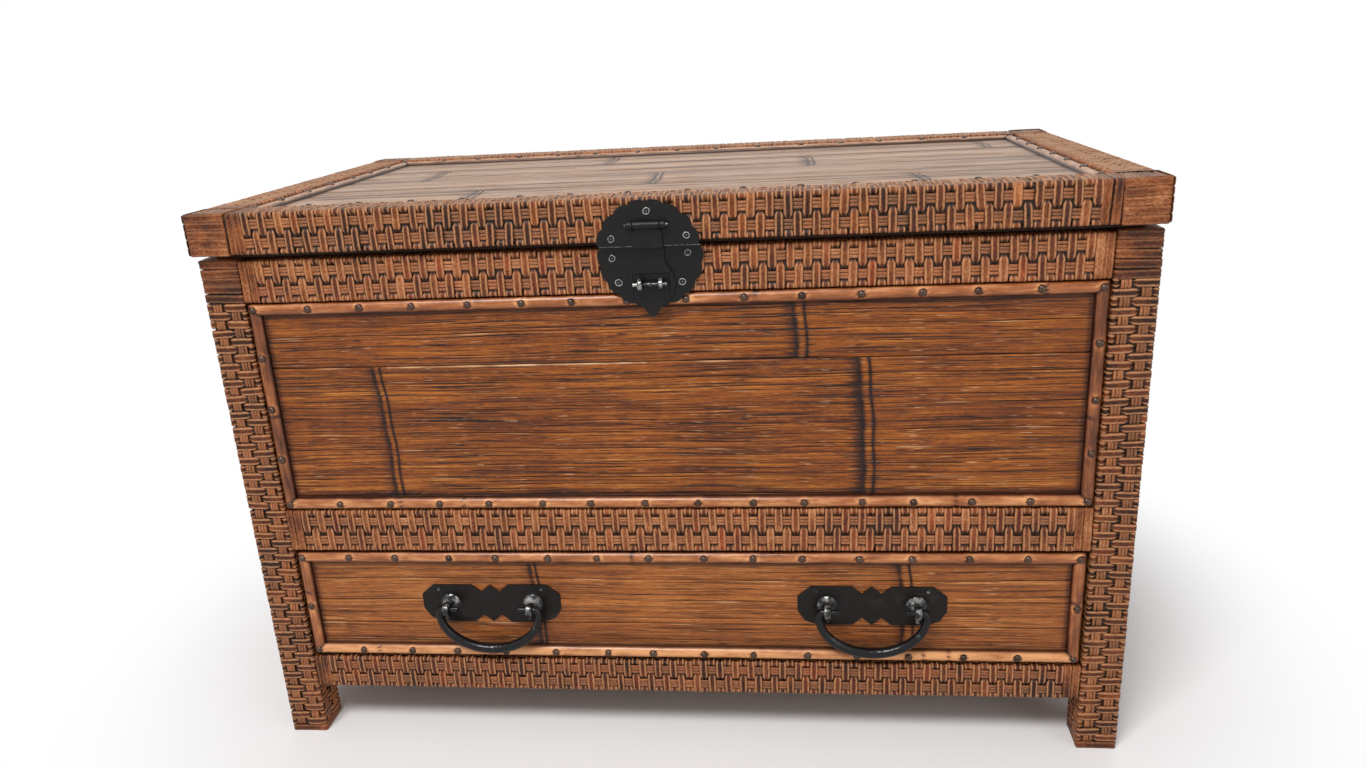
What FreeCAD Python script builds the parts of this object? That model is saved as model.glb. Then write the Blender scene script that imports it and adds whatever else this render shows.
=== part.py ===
"""Low storage chest with a hinged lid, a drawer below, cane-wrapped frame bars and split-bamboo panels.

Millimetres, +Z up. The origin is on the floor, under the middle of the chest. The front faces -Y.
"""

import FreeCAD, Part
import math
import os

from FreeCAD import Vector

# Overall sizes
body_width = 760.0
body_depth = 418.0
post_side = 35.0
wrap_thickness = 3.0
wrap_round = 3.5
core_round = 1.5
tenon_length = 9.0
tenon_shoulder = 8.0

# Heights above the floor
foot_height = 50.0
drawer_sill = 83.0
drawer_head = 192.0
panel_sill = 232.0
panel_head = 420.0
body_top = 457.0
lid_gap = 5.0
lid_height = 35.0
lid_overhang = 8.0

# Panels and their bamboo edging
panel_recess = 6.0
panel_thickness = 9.0
trim_width = 13.0
trim_height = 5.8
lining_thickness = 4.7
lining_inset = 12.0
floor_top = 206.0
floor_thickness = 7.0
cleat_side = 14.0

# Drawer
drawer_gap = 1.5
drawer_length = 380.0
drawer_front_thickness = 12.0
drawer_side_thickness = 10.0
drawer_side_height = 82.0
drawer_lift = 0.6
drawer_bottom_thickness = 4.0
drawer_bottom_rise = 6.0
runner_width = 26.0
runner_height = 12.0
guide_height = 14.0
guide_gap = 1.0

# Drawer handles
handle_spacing = 337.0
handle_height = 138.0
plate_thickness = 1.2
plate_half_width = 63.5
plate_half_height = 18.6
plate_notch_x = 8.3
plate_notch_depth = 7.2
eye_offset = 38.0
eye_reach = 11.0
eye_radius = 6.2
eye_width = 6.0
eye_tail_radius = 2.2
eye_tail_drop = 10.2
eye_dome_radius = 9.0
eye_dome_height = 3.6
bail_stub_radius = 2.5
bail_end_radius = 3.2
bail_middle_radius = 4.5
bail_stub_inner = 28.0
bail_half_span = 45.5
bail_bend_radius = 4.2
bail_drop = 39.7
bail_sections = 13
fit_clearance = 0.08

# Round lock plate, hasp, staples and pin
lock_offset = -3.5
lock_height = 453.5
lock_lower_drop = 3.5
lock_crest_radius = 41.8
lock_notch_radius = 40.0
lock_scallops = 18
lock_split_height = 459.0
lock_split_gap = 1.0
hasp_axis_height = 476.0
hasp_pin_radius = 1.5
hasp_barrel_radius = 3.2
hasp_barrel_length = 20.0
hasp_lug_length = 5.0
hasp_lug_gap = 0.3
hasp_thickness = 1.6
hasp_back_gap = 0.5
hasp_strap_half = 11.5
hasp_flare_height = 446.0
hasp_lobe_radius = 19.0
hasp_lobe_height = 428.0
hasp_bend_top = 459.5
hasp_bend_bottom = 456.0
fork_half_width = 14.5
fork_top = 436.6
fork_gap = 0.4
tongue_half_width = 8.8
tongue_root_height = 413.7
tongue_side_x = 6.1
tongue_side_height = 407.6
tongue_tip_height = 401.5
staple_offset = 8.1
staple_height = 429.0
staple_half_thickness = 1.8
staple_eye_radius = 5.0
staple_reach = 8.3
lock_pin_radius = 1.6
lock_pin_half_length = 14.0
lock_pin_knob_radius = 1.9

# Back hinges
hinge_spacing = 460.0
hinge_leaf_width = 60.0
hinge_leaf_height = 28.0
hinge_leaf_thickness = 1.5
hinge_barrel_radius = 3.5
hinge_pin_radius = 1.6
hinge_knuckles = 5
hinge_knuckle_gap = 0.3

# Slotted lid stay inside the right-hand end
lid_open_angle = 95.0
stay_radius = 110.0
stay_stud_angle = 8.0
stay_rest_angle = 30.0
stay_width = 13.0
stay_thickness = 2.5
stay_inner_x = 337.6
stay_stud_radius = 3.0
stay_slot_clearance = 0.2
stay_slot_end = 0.8
stay_rivet_radius = 2.5
stay_head_radius = 5.5
stay_head_height = 1.6
stay_plate_thickness = 1.8
stay_lug_thickness = 2.0
stay_foot_width = 16.0
stay_foot_length = 46.0

# Places worked out from the sizes above
half_width = body_width / 2
inner_half_width = half_width - post_side
lid_bottom = body_top + lid_gap
lid_top = lid_bottom + lid_height
hasp_axis_reach = lid_overhang + plate_thickness + hasp_barrel_radius + 0.3
front_reach = hasp_axis_reach + hasp_barrel_radius
back_reach = 2 * hinge_barrel_radius
body_front = front_reach - (front_reach + body_depth + back_reach) / 2
body_back = body_front + body_depth
lid_front = body_front - lid_overhang
frame_back = body_front + post_side
hinge_axis_y = body_back + hinge_barrel_radius
hinge_axis_z = body_top + lid_gap / 2
drawer_half_width = inner_half_width - drawer_gap
drawer_front_y = body_front + panel_recess
drawer_face_back = drawer_front_y + drawer_front_thickness
drawer_floor = drawer_sill + drawer_lift

AXIS_X = Vector(1, 0, 0)
AXIS_Y = Vector(0, 1, 0)
AXIS_Z = Vector(0, 0, 1)

nodes = {}


def box(low, high):
    size = high - low
    return Part.makeBox(size.x, size.y, size.z, low)


def box_xyz(x0, x1, y0, y1, z0, z1):
    return box(Vector(x0, y0, z0), Vector(x1, y1, z1))


def rounded_bar(low, high, axis, radius):
    """A bar along axis, its four long edges rounded, and those round the sole of a foot too."""
    bar = box(low, high)
    edges = [e for e in bar.Edges if abs(e.tangentAt(e.FirstParameter).dot(axis)) > 0.99]
    if low.z == 0:
        edges += [e for e in bar.Edges if e.BoundBox.ZMax < 0.01]
    return bar.makeFillet(radius, edges)


def wrapped_bar(low, high, axis):
    """The cane sleeve and the wooden core of one frame bar."""
    side = Vector(wrap_thickness, wrap_thickness, wrap_thickness) - axis * wrap_thickness
    sole = axis * wrap_thickness if low.z == 0 else Vector()
    core = rounded_bar(low + side + sole, high - side, axis, core_round)
    sleeve = rounded_bar(low, high, axis, wrap_round).cut(core)
    return sleeve, core


def tenons(low, high, axis):
    """The stub tenons at both ends of a rail, as one list of boxes."""
    shoulder = wrap_thickness + tenon_shoulder
    side = Vector(shoulder, shoulder, shoulder) - axis * shoulder
    near = box(low + side - axis * tenon_length, high - side - axis * (high - low).dot(axis))
    far = box(low + side + axis * (high - low).dot(axis), high - side + axis * tenon_length)
    return [near, far]


def prism(points, start, direction):
    """A closed outline of straight edges, moved to start and extruded along direction."""
    ring = [p + start for p in points]
    return Part.Face(Part.makePolygon(ring + [ring[0]])).extrude(direction)


def one_solid(shape):
    """The single solid of a boolean result, with its split faces joined."""
    return shape.removeSplitter().Solids[0]


def group(shapes):
    return Part.makeCompound([s for shape in shapes for s in shape.Solids])


def trim_bar(start, end, inward, outward):
    """Half-round edging from start to end along an opening's edge, mitred at both ends."""
    along = (end - start).normalize()
    length = (end - start).Length
    outer = start
    crest = start + inward * (trim_width / 2) + outward * trim_height
    inner = start + inward * trim_width
    curve = Part.Arc(outer, crest, inner).toShape()
    flat = Part.LineSegment(inner, outer).toShape()
    rod = Part.Face(Part.Wire([curve, flat])).extrude(along * length)
    reach = trim_width * 2
    for corner, way in ((start, along), (end, along * -1)):
        wedge = [Vector(), way * -reach, way * -reach + inward * reach, (way + inward) * reach]
        rod = rod.cut(prism(wedge, corner - outward, outward * (trim_height + 2)))
    return one_solid(rod)


def trim_frame(origin, across, up, width, height, outward):
    """Four mitred trims round the inside of an opening: bottom, right, top, left."""
    a = origin
    b = origin + across * width
    c = b + up * height
    d = origin + up * height
    return [
        trim_bar(a, b, up, outward),
        trim_bar(b, c, across * -1, outward),
        trim_bar(c, d, up * -1, outward),
        trim_bar(d, a, across, outward),
    ]


def carcass_bars():
    """Low corner, high corner and axis of each post and rail of the body, by name."""
    x0, x1 = -half_width, half_width
    ix = inner_half_width
    y0, y1 = body_front, body_back
    fy, by = body_front + post_side, body_back - post_side
    bars = {}
    for side, xs in (("left", (x0, -ix)), ("right", (ix, x1))):
        for end, ys in (("front", (y0, fy)), ("back", (by, y1))):
            low = Vector(xs[0], ys[0], 0)
            high = Vector(xs[1], ys[1], body_top)
            bars[f"post_{end}_{side}"] = (low, high, AXIS_Z)
    levels = {"top": (panel_head, body_top), "bottom": (foot_height, drawer_sill)}
    for level, (z0, z1) in levels.items():
        bars[f"front_{level}_rail"] = (Vector(-ix, y0, z0), Vector(ix, fy, z1), AXIS_X)
        bars[f"back_{level}_rail"] = (Vector(-ix, by, z0), Vector(ix, y1, z1), AXIS_X)
        bars[f"left_{level}_rail"] = (Vector(x0, fy, z0), Vector(-ix, by, z1), AXIS_Y)
        bars[f"right_{level}_rail"] = (Vector(ix, fy, z0), Vector(x1, by, z1), AXIS_Y)
    middle = (Vector(-ix, y0, drawer_head), Vector(ix, fy, panel_sill), AXIS_X)
    bars["front_middle_rail"] = middle
    return bars


def make_carcass_frame():
    """Wrapped posts and rails. The rails' tenons seat in mortises through the posts' wrap."""
    bars = carcass_bars()
    cores = {}
    sleeves = {}
    for name, (low, high, axis) in bars.items():
        sleeves[name], cores[name] = wrapped_bar(low, high, axis)
    all_tenons = []
    for name, (low, high, axis) in bars.items():
        if name.endswith("rail"):
            ends = tenons(low, high, axis)
            cores[name] = one_solid(cores[name].multiFuse(ends))
            all_tenons += ends
    tenon_tool = Part.makeCompound(all_tenons)
    for name in bars:
        if name.startswith("post"):
            cores[name] = one_solid(cores[name].cut(tenon_tool))
            sleeves[name] = one_solid(sleeves[name].cut(tenon_tool))
    nodes.update(cores)
    nodes["post_wraps"] = group([sleeves[n] for n in bars if n.startswith("post")])
    for face in ("front", "back"):
        nodes[f"{face}_rail_wraps"] = group([sleeves[n] for n in bars if n.startswith(face)])
    sides = [sleeves[n] for n in bars if n.startswith(("left", "right"))]
    nodes["side_rail_wraps"] = group(sides)


def make_panels():
    """Bamboo-faced boards in the frame openings, and the bamboo edging nailed round them."""
    ix = inner_half_width
    front_face = body_front + panel_recess
    nodes["front_panel"] = box_xyz(
        -ix, ix, front_face, front_face + panel_thickness, panel_sill, panel_head
    )
    back_face = body_back - panel_recess
    nodes["back_panel"] = box_xyz(
        -ix, ix, back_face - panel_thickness, back_face, drawer_sill, panel_head
    )
    fy, by = body_front + post_side, body_back - post_side
    side_face = half_width - panel_recess
    right = box_xyz(side_face - panel_thickness, side_face, fy, by, drawer_sill, panel_head)
    nodes["right_panel"] = right
    nodes["left_panel"] = right.mirror(Vector(), AXIS_X)

    front_height = panel_head - panel_sill
    corner = Vector(-ix, front_face, panel_sill)
    front_trims = trim_frame(corner, AXIS_X, AXIS_Z, 2 * ix, front_height, AXIS_Y * -1)
    nodes["front_trims"] = group(front_trims)
    tall = panel_head - drawer_sill
    corner = Vector(-ix, back_face, drawer_sill)
    nodes["back_trims"] = group(trim_frame(corner, AXIS_X, AXIS_Z, 2 * ix, tall, AXIS_Y))
    corner = Vector(side_face, fy, drawer_sill)
    right = group(trim_frame(corner, AXIS_Y, AXIS_Z, by - fy, tall, AXIS_X))
    nodes["right_trims"] = right
    nodes["left_trims"] = right.mirror(Vector(), AXIS_X)


def make_chest_floor():
    """The board between the chest and the drawer space, on cleats, and the drawer's runners."""
    ix = inner_half_width
    fy = frame_back
    back_inner = body_back - panel_recess - panel_thickness
    side_inner = half_width - panel_recess - panel_thickness
    by = body_back - post_side
    floor_bottom = floor_top - floor_thickness
    floor = box_xyz(-ix, ix, fy, back_inner, floor_bottom, floor_top)
    wings = box_xyz(-side_inner, side_inner, fy, by, floor_bottom, floor_top)
    nodes["chest_floor"] = one_solid(floor.fuse(wings))
    cleat_bottom = floor_bottom - cleat_side
    right = box_xyz(side_inner - cleat_side, side_inner, fy, by, cleat_bottom, floor_bottom)
    back = box_xyz(-ix, ix, back_inner - cleat_side, back_inner, cleat_bottom, floor_bottom)
    nodes["floor_cleats"] = group([right, right.mirror(Vector(), AXIS_X), back])

    shelf_bottom = drawer_sill - runner_height
    shelf = box_xyz(ix - runner_width, ix, fy, by, shelf_bottom, drawer_sill)
    guide_inner = drawer_half_width + guide_gap
    guide_top = drawer_sill + guide_height
    guide = box_xyz(guide_inner, side_inner, fy, by, drawer_sill, guide_top)
    right = one_solid(shelf.fuse(guide))
    nodes["drawer_runners"] = group([right, right.mirror(Vector(), AXIS_X)])


def make_lid():
    """Four wrapped lid rails, the bamboo top board with its edging, and the lining below."""
    x0, x1 = -half_width, half_width
    ix = inner_half_width
    y0, y1 = lid_front, body_back
    fy, by = y0 + post_side, y1 - post_side
    bars = {
        "lid_front_rail": (Vector(x0, y0, lid_bottom), Vector(x1, fy, lid_top), AXIS_X),
        "lid_back_rail": (Vector(x0, by, lid_bottom), Vector(x1, y1, lid_top), AXIS_X),
        "lid_left_rail": (Vector(x0, fy, lid_bottom), Vector(-ix, by, lid_top), AXIS_Y),
        "lid_right_rail": (Vector(ix, fy, lid_bottom), Vector(x1, by, lid_top), AXIS_Y),
    }
    sleeves = {}
    cores = {}
    for name, (low, high, axis) in bars.items():
        sleeves[name], cores[name] = wrapped_bar(low, high, axis)
    ends = []
    for name in ("lid_left_rail", "lid_right_rail"):
        own = tenons(*bars[name])
        cores[name] = one_solid(cores[name].multiFuse(own))
        ends += own
    tenon_tool = Part.makeCompound(ends)
    for name in ("lid_front_rail", "lid_back_rail"):
        cores[name] = one_solid(cores[name].cut(tenon_tool))
        sleeves[name] = one_solid(sleeves[name].cut(tenon_tool))
    nodes.update(cores)
    nodes["lid_wraps"] = group(sleeves.values())

    board_top = lid_top - panel_recess
    nodes["lid_panel"] = box_xyz(-ix, ix, fy, by, board_top - panel_thickness, board_top)
    corner = Vector(-ix, fy, board_top)
    lid_trims = trim_frame(corner, AXIS_X, AXIS_Y, 2 * ix, by - fy, AXIS_Z)
    nodes["lid_trims"] = group(lid_trims)
    inset = lining_inset
    nodes["lid_lining"] = box_xyz(
        x0 + inset, x1 - inset, body_front + inset, y1 - inset, lid_bottom - lining_thickness, lid_bottom
    )


def make_drawer():
    """Drawer box: face board with edging, two sides, back and a bottom let into grooves."""
    w = drawer_half_width
    face_bottom = drawer_sill + drawer_gap
    face_top = drawer_head - drawer_gap
    face_back = drawer_face_back
    nodes["drawer_front"] = box_xyz(-w, w, drawer_front_y, face_back, face_bottom, face_top)
    corner = Vector(-w, drawer_front_y, face_bottom)
    trims = trim_frame(corner, AXIS_X, AXIS_Z, 2 * w, face_top - face_bottom, AXIS_Y * -1)
    nodes["drawer_trims"] = group(trims)

    box_back = drawer_front_y + drawer_length
    side_top = drawer_floor + drawer_side_height
    inner = w - drawer_side_thickness
    groove = drawer_side_thickness / 2
    bottom_low = drawer_floor + drawer_bottom_rise
    bottom = box_xyz(
        -inner - groove,
        inner + groove,
        face_back,
        box_back - groove,
        bottom_low,
        bottom_low + drawer_bottom_thickness,
    )
    right = box_xyz(inner, w, face_back, box_back, drawer_floor, side_top).cut(bottom)
    back = box_xyz(-inner, inner, box_back - drawer_side_thickness, box_back, drawer_floor, side_top)
    nodes["drawer_bottom"] = bottom
    nodes["drawer_side_right"] = one_solid(right)
    nodes["drawer_side_left"] = one_solid(right).mirror(Vector(), AXIS_X)
    nodes["drawer_back"] = one_solid(back.cut(bottom))


def handle_plate(centre_x):
    """Flat back plate with clipped ends and a point between two notches above and below."""
    half, high = plate_half_width, plate_half_height
    notch = (plate_notch_x, high - plate_notch_depth)
    upper = [(half, 9.0), (half - 11.5, high), (2 * plate_notch_x, high), notch, (0, high)]
    lower = [(half, -5.0), (half - 6.0, -14.4), (half - 16.5, -high)]
    lower += [(2 * plate_notch_x, -high), (notch[0], -notch[1]), (0, -high)]
    right = lower[::-1] + upper
    left = [(-x, z) for x, z in right[::-1][1:-1]]
    start = Vector(centre_x, drawer_front_y, handle_height)
    return prism([Vector(x, 0, z) for x, z in right + left], start, AXIS_Y * -plate_thickness)


def eye(centre_x, width, root_y, axis_y, axis_z, radius, hole_radius):
    """A forged eye: ring with softened rims on a narrower shank, bored along X."""
    half = width / 2
    ring = Part.makeCylinder(radius, width, Vector(centre_x - half, axis_y, axis_z), AXIS_X)
    rims = [e for e in ring.Edges if e.Closed]
    ring = ring.makeFillet(width * 0.2, rims)
    waist = radius * 0.62
    shank = box_xyz(
        centre_x - half * 0.85, centre_x + half * 0.85, axis_y, root_y, axis_z - waist, axis_z + waist
    )
    bore_start = Vector(centre_x - width, axis_y, axis_z)
    return ring.fuse(shank).cut(Part.makeCylinder(hole_radius, 2 * width, bore_start, AXIS_X))


def low_dome(root, radius, height):
    """A cap of a sphere that stands on the XZ plane at root and faces the front."""
    ball_radius = (radius**2 + height**2) / (2 * height)
    ball = Part.makeSphere(ball_radius, root + AXIS_Y * (ball_radius - height))
    return ball.common(box(root - Vector(radius, height + 1, radius), root + Vector(radius, 0, radius)))


def handle_eyes(centre_x):
    """Two eyes on low domes, for the bail's ends, each with a blunt tail below."""
    face = drawer_front_y - plate_thickness
    axis_y = face - eye_reach
    hole_radius = bail_stub_radius + fit_clearance
    tail_end = handle_height - eye_tail_drop + eye_tail_radius
    tail_start = handle_height - eye_radius * 0.6
    eyes = []
    for side in (-1, 1):
        x = centre_x + side * eye_offset
        one = eye(x, eye_width, face, axis_y, handle_height, eye_radius, hole_radius)
        tail_top = Vector(x, axis_y, tail_start)
        thick = eye_tail_radius * 1.25
        tail = Part.makeCone(thick, eye_tail_radius, tail_start - tail_end, tail_top, AXIS_Z * -1)
        end = Part.makeSphere(eye_tail_radius, Vector(x, axis_y, tail_end))
        dome = low_dome(Vector(x, face, handle_height), eye_dome_radius, eye_dome_height)
        eyes.append(one_solid(one.multiFuse([tail, end, dome])))
    return group(eyes)


def bail(centre_x):
    """Swinging loop, thicker in the middle, its thin ends turned inwards through the eyes."""
    centre = Vector(centre_x, drawer_front_y - plate_thickness - eye_reach, handle_height)
    drop = bail_drop - bail_bend_radius
    rings = []
    for i in range(bail_sections):
        t = math.pi * i / (bail_sections - 1)
        place = Vector(bail_half_span * math.cos(t), 0, -bail_bend_radius - drop * math.sin(t))
        way = Vector(-bail_half_span * math.sin(t), 0, -drop * math.cos(t))
        swell = (bail_middle_radius - bail_end_radius) * math.sin(t)
        circle = Part.Circle(centre + place, way, bail_end_radius + swell)
        rings.append(Part.Wire(circle.toShape()))
    pieces = [Part.makeLoft(rings, True, False)]
    for side in (-1, 1):
        corner = centre + Vector(side * (bail_half_span - bail_bend_radius), 0, 0)
        start = centre + Vector(side * bail_stub_inner, 0, 0)
        length = bail_half_span - bail_bend_radius + 1 - bail_stub_inner
        pieces.append(Part.makeCylinder(bail_stub_radius, length, start, AXIS_X * side))
        pivot = corner - AXIS_Z * bail_bend_radius
        ring = Part.Face(Part.Wire(Part.Circle(corner, AXIS_X, bail_end_radius).toShape()))
        pieces.append(ring.revolve(pivot, AXIS_Y * side, 90))
    return one_solid(pieces[0].multiFuse(pieces[1:]))


def make_handles():
    for name, centre_x in (("left", -handle_spacing / 2), ("right", handle_spacing / 2)):
        nodes[f"handle_plate_{name}"] = handle_plate(centre_x)
        nodes[f"handle_eyes_{name}"] = handle_eyes(centre_x)
        nodes[f"bail_{name}"] = bail(centre_x)


def at_lock(x, y, z):
    return Vector(lock_offset + x, y, z)


def lock_box(half_width, y0, y1, z0, z1):
    return box(at_lock(-half_width, y0, z0), at_lock(half_width, y1, z1))


def scalloped_disc(face_y, height):
    """The lock plate's full outline: shallow arcs that meet in inward notches."""
    step = 2 * math.pi / lock_scallops

    def rim(radius, turns):
        angle = turns * step
        return at_lock(radius * math.sin(angle), face_y, height + radius * math.cos(angle))

    arcs = []
    for i in range(lock_scallops):
        start, end = rim(lock_notch_radius, i), rim(lock_notch_radius, i + 1)
        arcs.append(Part.Arc(start, rim(lock_crest_radius, i + 0.5), end).toShape())
    return Part.Face(Part.Wire(arcs)).extrude(AXIS_Y * -plate_thickness)


def lobe(y0, y1):
    """The round lower part of the hasp's outline, as a disc from y0 to y1."""
    start = at_lock(0, y1, hasp_lobe_height)
    return Part.makeCylinder(hasp_lobe_radius, y1 - y0, start, AXIS_Y * -1)


def make_lock():
    """The plate in two halves: the hasp's eyes on the lid, the staples and tongue on the body."""
    reach = lock_crest_radius + 5
    above = lock_split_height + lock_split_gap / 2
    below = lock_split_height - lock_split_gap / 2
    upper = scalloped_disc(lid_front, lock_height).common(
        lock_box(reach, lid_front - 9, lid_front + 9, above, above + 2 * reach)
    )
    axis_y = body_front - hasp_axis_reach
    hole = hasp_pin_radius + fit_clearance
    inner = hasp_barrel_length / 2 + hasp_lug_gap
    offset = inner + hasp_lug_length / 2
    lugs = [
        eye(
            lock_offset + side * offset,
            hasp_lug_length,
            lid_front - plate_thickness,
            axis_y,
            hasp_axis_height,
            hasp_barrel_radius,
            hole,
        )
        for side in (-1, 1)
    ]
    nodes["lock_plate_upper"] = one_solid(upper.multiFuse(lugs))
    half_pin = inner + hasp_lug_length + 1.5
    nodes["hasp_pin"] = Part.makeCylinder(
        hasp_pin_radius, 2 * half_pin, at_lock(-half_pin, axis_y, hasp_axis_height), AXIS_X
    )

    lower = scalloped_disc(body_front, lock_height - lock_lower_drop).common(
        lock_box(reach, body_front - 9, body_front + 9, below - 2 * reach, below)
    )
    back = body_front - plate_thickness
    front = back - hasp_back_gap - hasp_thickness
    boss = lobe(front, back).common(
        lock_box(fork_half_width - fork_gap, front, back, 0, fork_top - fork_gap)
    )
    root_left = at_lock(-tongue_half_width, front, tongue_root_height)
    root_right = at_lock(tongue_half_width, front, tongue_root_height)
    side_left = at_lock(-tongue_side_x, front, tongue_side_height)
    side_right = at_lock(tongue_side_x, front, tongue_side_height)
    tip = at_lock(0, front, tongue_tip_height)
    outline = [
        Part.Arc(root_left, side_left, tip).toShape(),
        Part.Arc(tip, side_right, root_right).toShape(),
        Part.LineSegment(root_right, root_left).toShape(),
    ]
    tongue = Part.Face(Part.Wire(outline)).extrude(AXIS_Y * (back - front))
    nodes["lock_plate_lower"] = one_solid(lower.multiFuse([boss, tongue]))
    hole = lock_pin_radius + fit_clearance
    nodes["lock_staples"] = group(
        eye(
            lock_offset + side * staple_offset,
            2 * staple_half_thickness,
            front,
            body_front - staple_reach,
            staple_height,
            staple_eye_radius,
            hole,
        )
        for side in (-1, 1)
    )


def make_hasp():
    """Strap that hangs from the lid, steps in to the body and forks round the staples."""
    axis_y = body_front - hasp_axis_reach
    upper_y = lid_front - plate_thickness - hasp_back_gap
    lower_y = body_front - plate_thickness - hasp_back_gap
    thick = hasp_thickness
    bottom = hasp_lobe_height - hasp_lobe_radius - 2
    side_view = [
        (upper_y, hasp_axis_height),
        (upper_y, hasp_bend_top),
        (lower_y, hasp_bend_bottom + thick),
        (lower_y, bottom),
        (lower_y - thick, bottom),
        (lower_y - thick, hasp_bend_bottom),
        (upper_y - thick, hasp_bend_top - thick),
        (upper_y - thick, hasp_axis_height),
    ]
    wide = 2 * hasp_lobe_radius + 4
    start = AXIS_X * (lock_offset - wide / 2)
    ribbon = prism([Vector(0, y, z) for y, z in side_view], start, AXIS_X * wide)
    near, far = axis_y - 20, axis_y + 30
    shoulder_z = hasp_lobe_height + hasp_lobe_radius / 2
    shoulder = hasp_lobe_radius * math.sqrt(3) / 2
    flare = [
        (-hasp_strap_half, hasp_flare_height),
        (hasp_strap_half, hasp_flare_height),
        (shoulder, shoulder_z),
        (-shoulder, shoulder_z),
    ]
    flare_shape = prism(
        [at_lock(x, 0, z) for x, z in flare], AXIS_Y * near, AXIS_Y * (far - near)
    )
    neck_z = hasp_axis_height - hasp_barrel_radius - 1.2
    strap = lock_box(hasp_strap_half, near, far, hasp_flare_height, neck_z)
    neck = lock_box(hasp_barrel_length / 2, near, far, neck_z, hasp_axis_height)
    front_view = strap.multiFuse([neck, flare_shape, lobe(near, far)])
    fork = lock_box(fork_half_width, near, far, 0, fork_top)
    blade = ribbon.common(front_view).cut(fork)
    barrel_start = at_lock(-hasp_barrel_length / 2, axis_y, hasp_axis_height)
    barrel = Part.makeCylinder(hasp_barrel_radius, hasp_barrel_length, barrel_start, AXIS_X)
    bore_start = at_lock(-hasp_barrel_length, axis_y, hasp_axis_height)
    bore = Part.makeCylinder(
        hasp_pin_radius + fit_clearance, 2 * hasp_barrel_length, bore_start, AXIS_X
    )
    nodes["hasp"] = one_solid(blade.fuse(barrel).cut(bore))


def make_lock_pin():
    """The loose pin through both staples, with a small knob at the right-hand end."""
    y = body_front - staple_reach
    knob_x = lock_pin_half_length - lock_pin_knob_radius
    start = at_lock(-lock_pin_half_length, y, staple_height)
    rod = Part.makeCylinder(lock_pin_radius, lock_pin_half_length + knob_x, start, AXIS_X)
    knob = Part.makeSphere(lock_pin_knob_radius, at_lock(knob_x, y, staple_height))
    nodes["lock_pin"] = one_solid(rod.fuse(knob))


def hinge_leaf(centre_x, up, first):
    """One leaf on the back of the chest, with every second knuckle from first."""
    axis = Vector(centre_x, hinge_axis_y, hinge_axis_z)
    clear = hinge_barrel_radius + 0.4
    left = centre_x - hinge_leaf_width / 2
    pitch = hinge_leaf_width / hinge_knuckles
    y0, y1 = body_back, body_back + hinge_leaf_thickness
    z0, z1 = sorted((axis.z + up * clear, axis.z + up * hinge_leaf_height))
    leaf = box_xyz(left, left + hinge_leaf_width, y0, y1, z0, z1)
    parts = []
    for i in range(first, hinge_knuckles, 2):
        a = left + i * pitch + hinge_knuckle_gap / 2
        b = left + (i + 1) * pitch - hinge_knuckle_gap / 2
        parts.append(Part.makeCylinder(hinge_barrel_radius, b - a, Vector(a, axis.y, axis.z), AXIS_X))
        w0, w1 = sorted((axis.z, axis.z + up * (clear + 1)))
        parts.append(box_xyz(a, b, y0, y1, w0, w1))
    bore_start = axis - AXIS_X * hinge_leaf_width
    bore_radius = hinge_pin_radius + fit_clearance
    bore = Part.makeCylinder(bore_radius, 2 * hinge_leaf_width, bore_start, AXIS_X)
    return one_solid(leaf.multiFuse(parts).cut(bore))


def make_hinges():
    centres = (-hinge_spacing / 2, hinge_spacing / 2)
    nodes["hinge_leaves_body"] = group([hinge_leaf(x, -1, 0) for x in centres])
    nodes["hinge_leaves_lid"] = group([hinge_leaf(x, 1, 1) for x in centres])
    pins = []
    for x in centres:
        start = Vector(x - hinge_leaf_width / 2, hinge_axis_y, hinge_axis_z)
        pins.append(Part.makeCylinder(hinge_pin_radius, hinge_leaf_width, start, AXIS_X))
    nodes["hinge_pins"] = group(pins)


def on_stay_circle(angle):
    """A point at stay_radius from the hinge line, angle degrees below the horizontal."""
    turn = math.radians(angle)
    y = hinge_axis_y - stay_radius * math.cos(turn)
    return Vector(0, y, hinge_axis_z - stay_radius * math.sin(turn))


def disc(radius, x0, x1, centre):
    return Part.makeCylinder(radius, x1 - x0, Vector(x0, centre.y, centre.z), AXIS_X)


def stay_blade(start, along, length, x0, x1, half):
    """A flat bar with round ends, from start to length along it."""
    across = AXIS_X.cross(along)
    ring = [across * half, across * half + along * length]
    ring += [across * -half + along * length, across * -half]
    bar = prism(ring, start + AXIS_X * x0, AXIS_X * (x1 - x0))
    return bar.multiFuse([disc(half, x0, x1, start), disc(half, x0, x1, start + along * length)])


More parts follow.
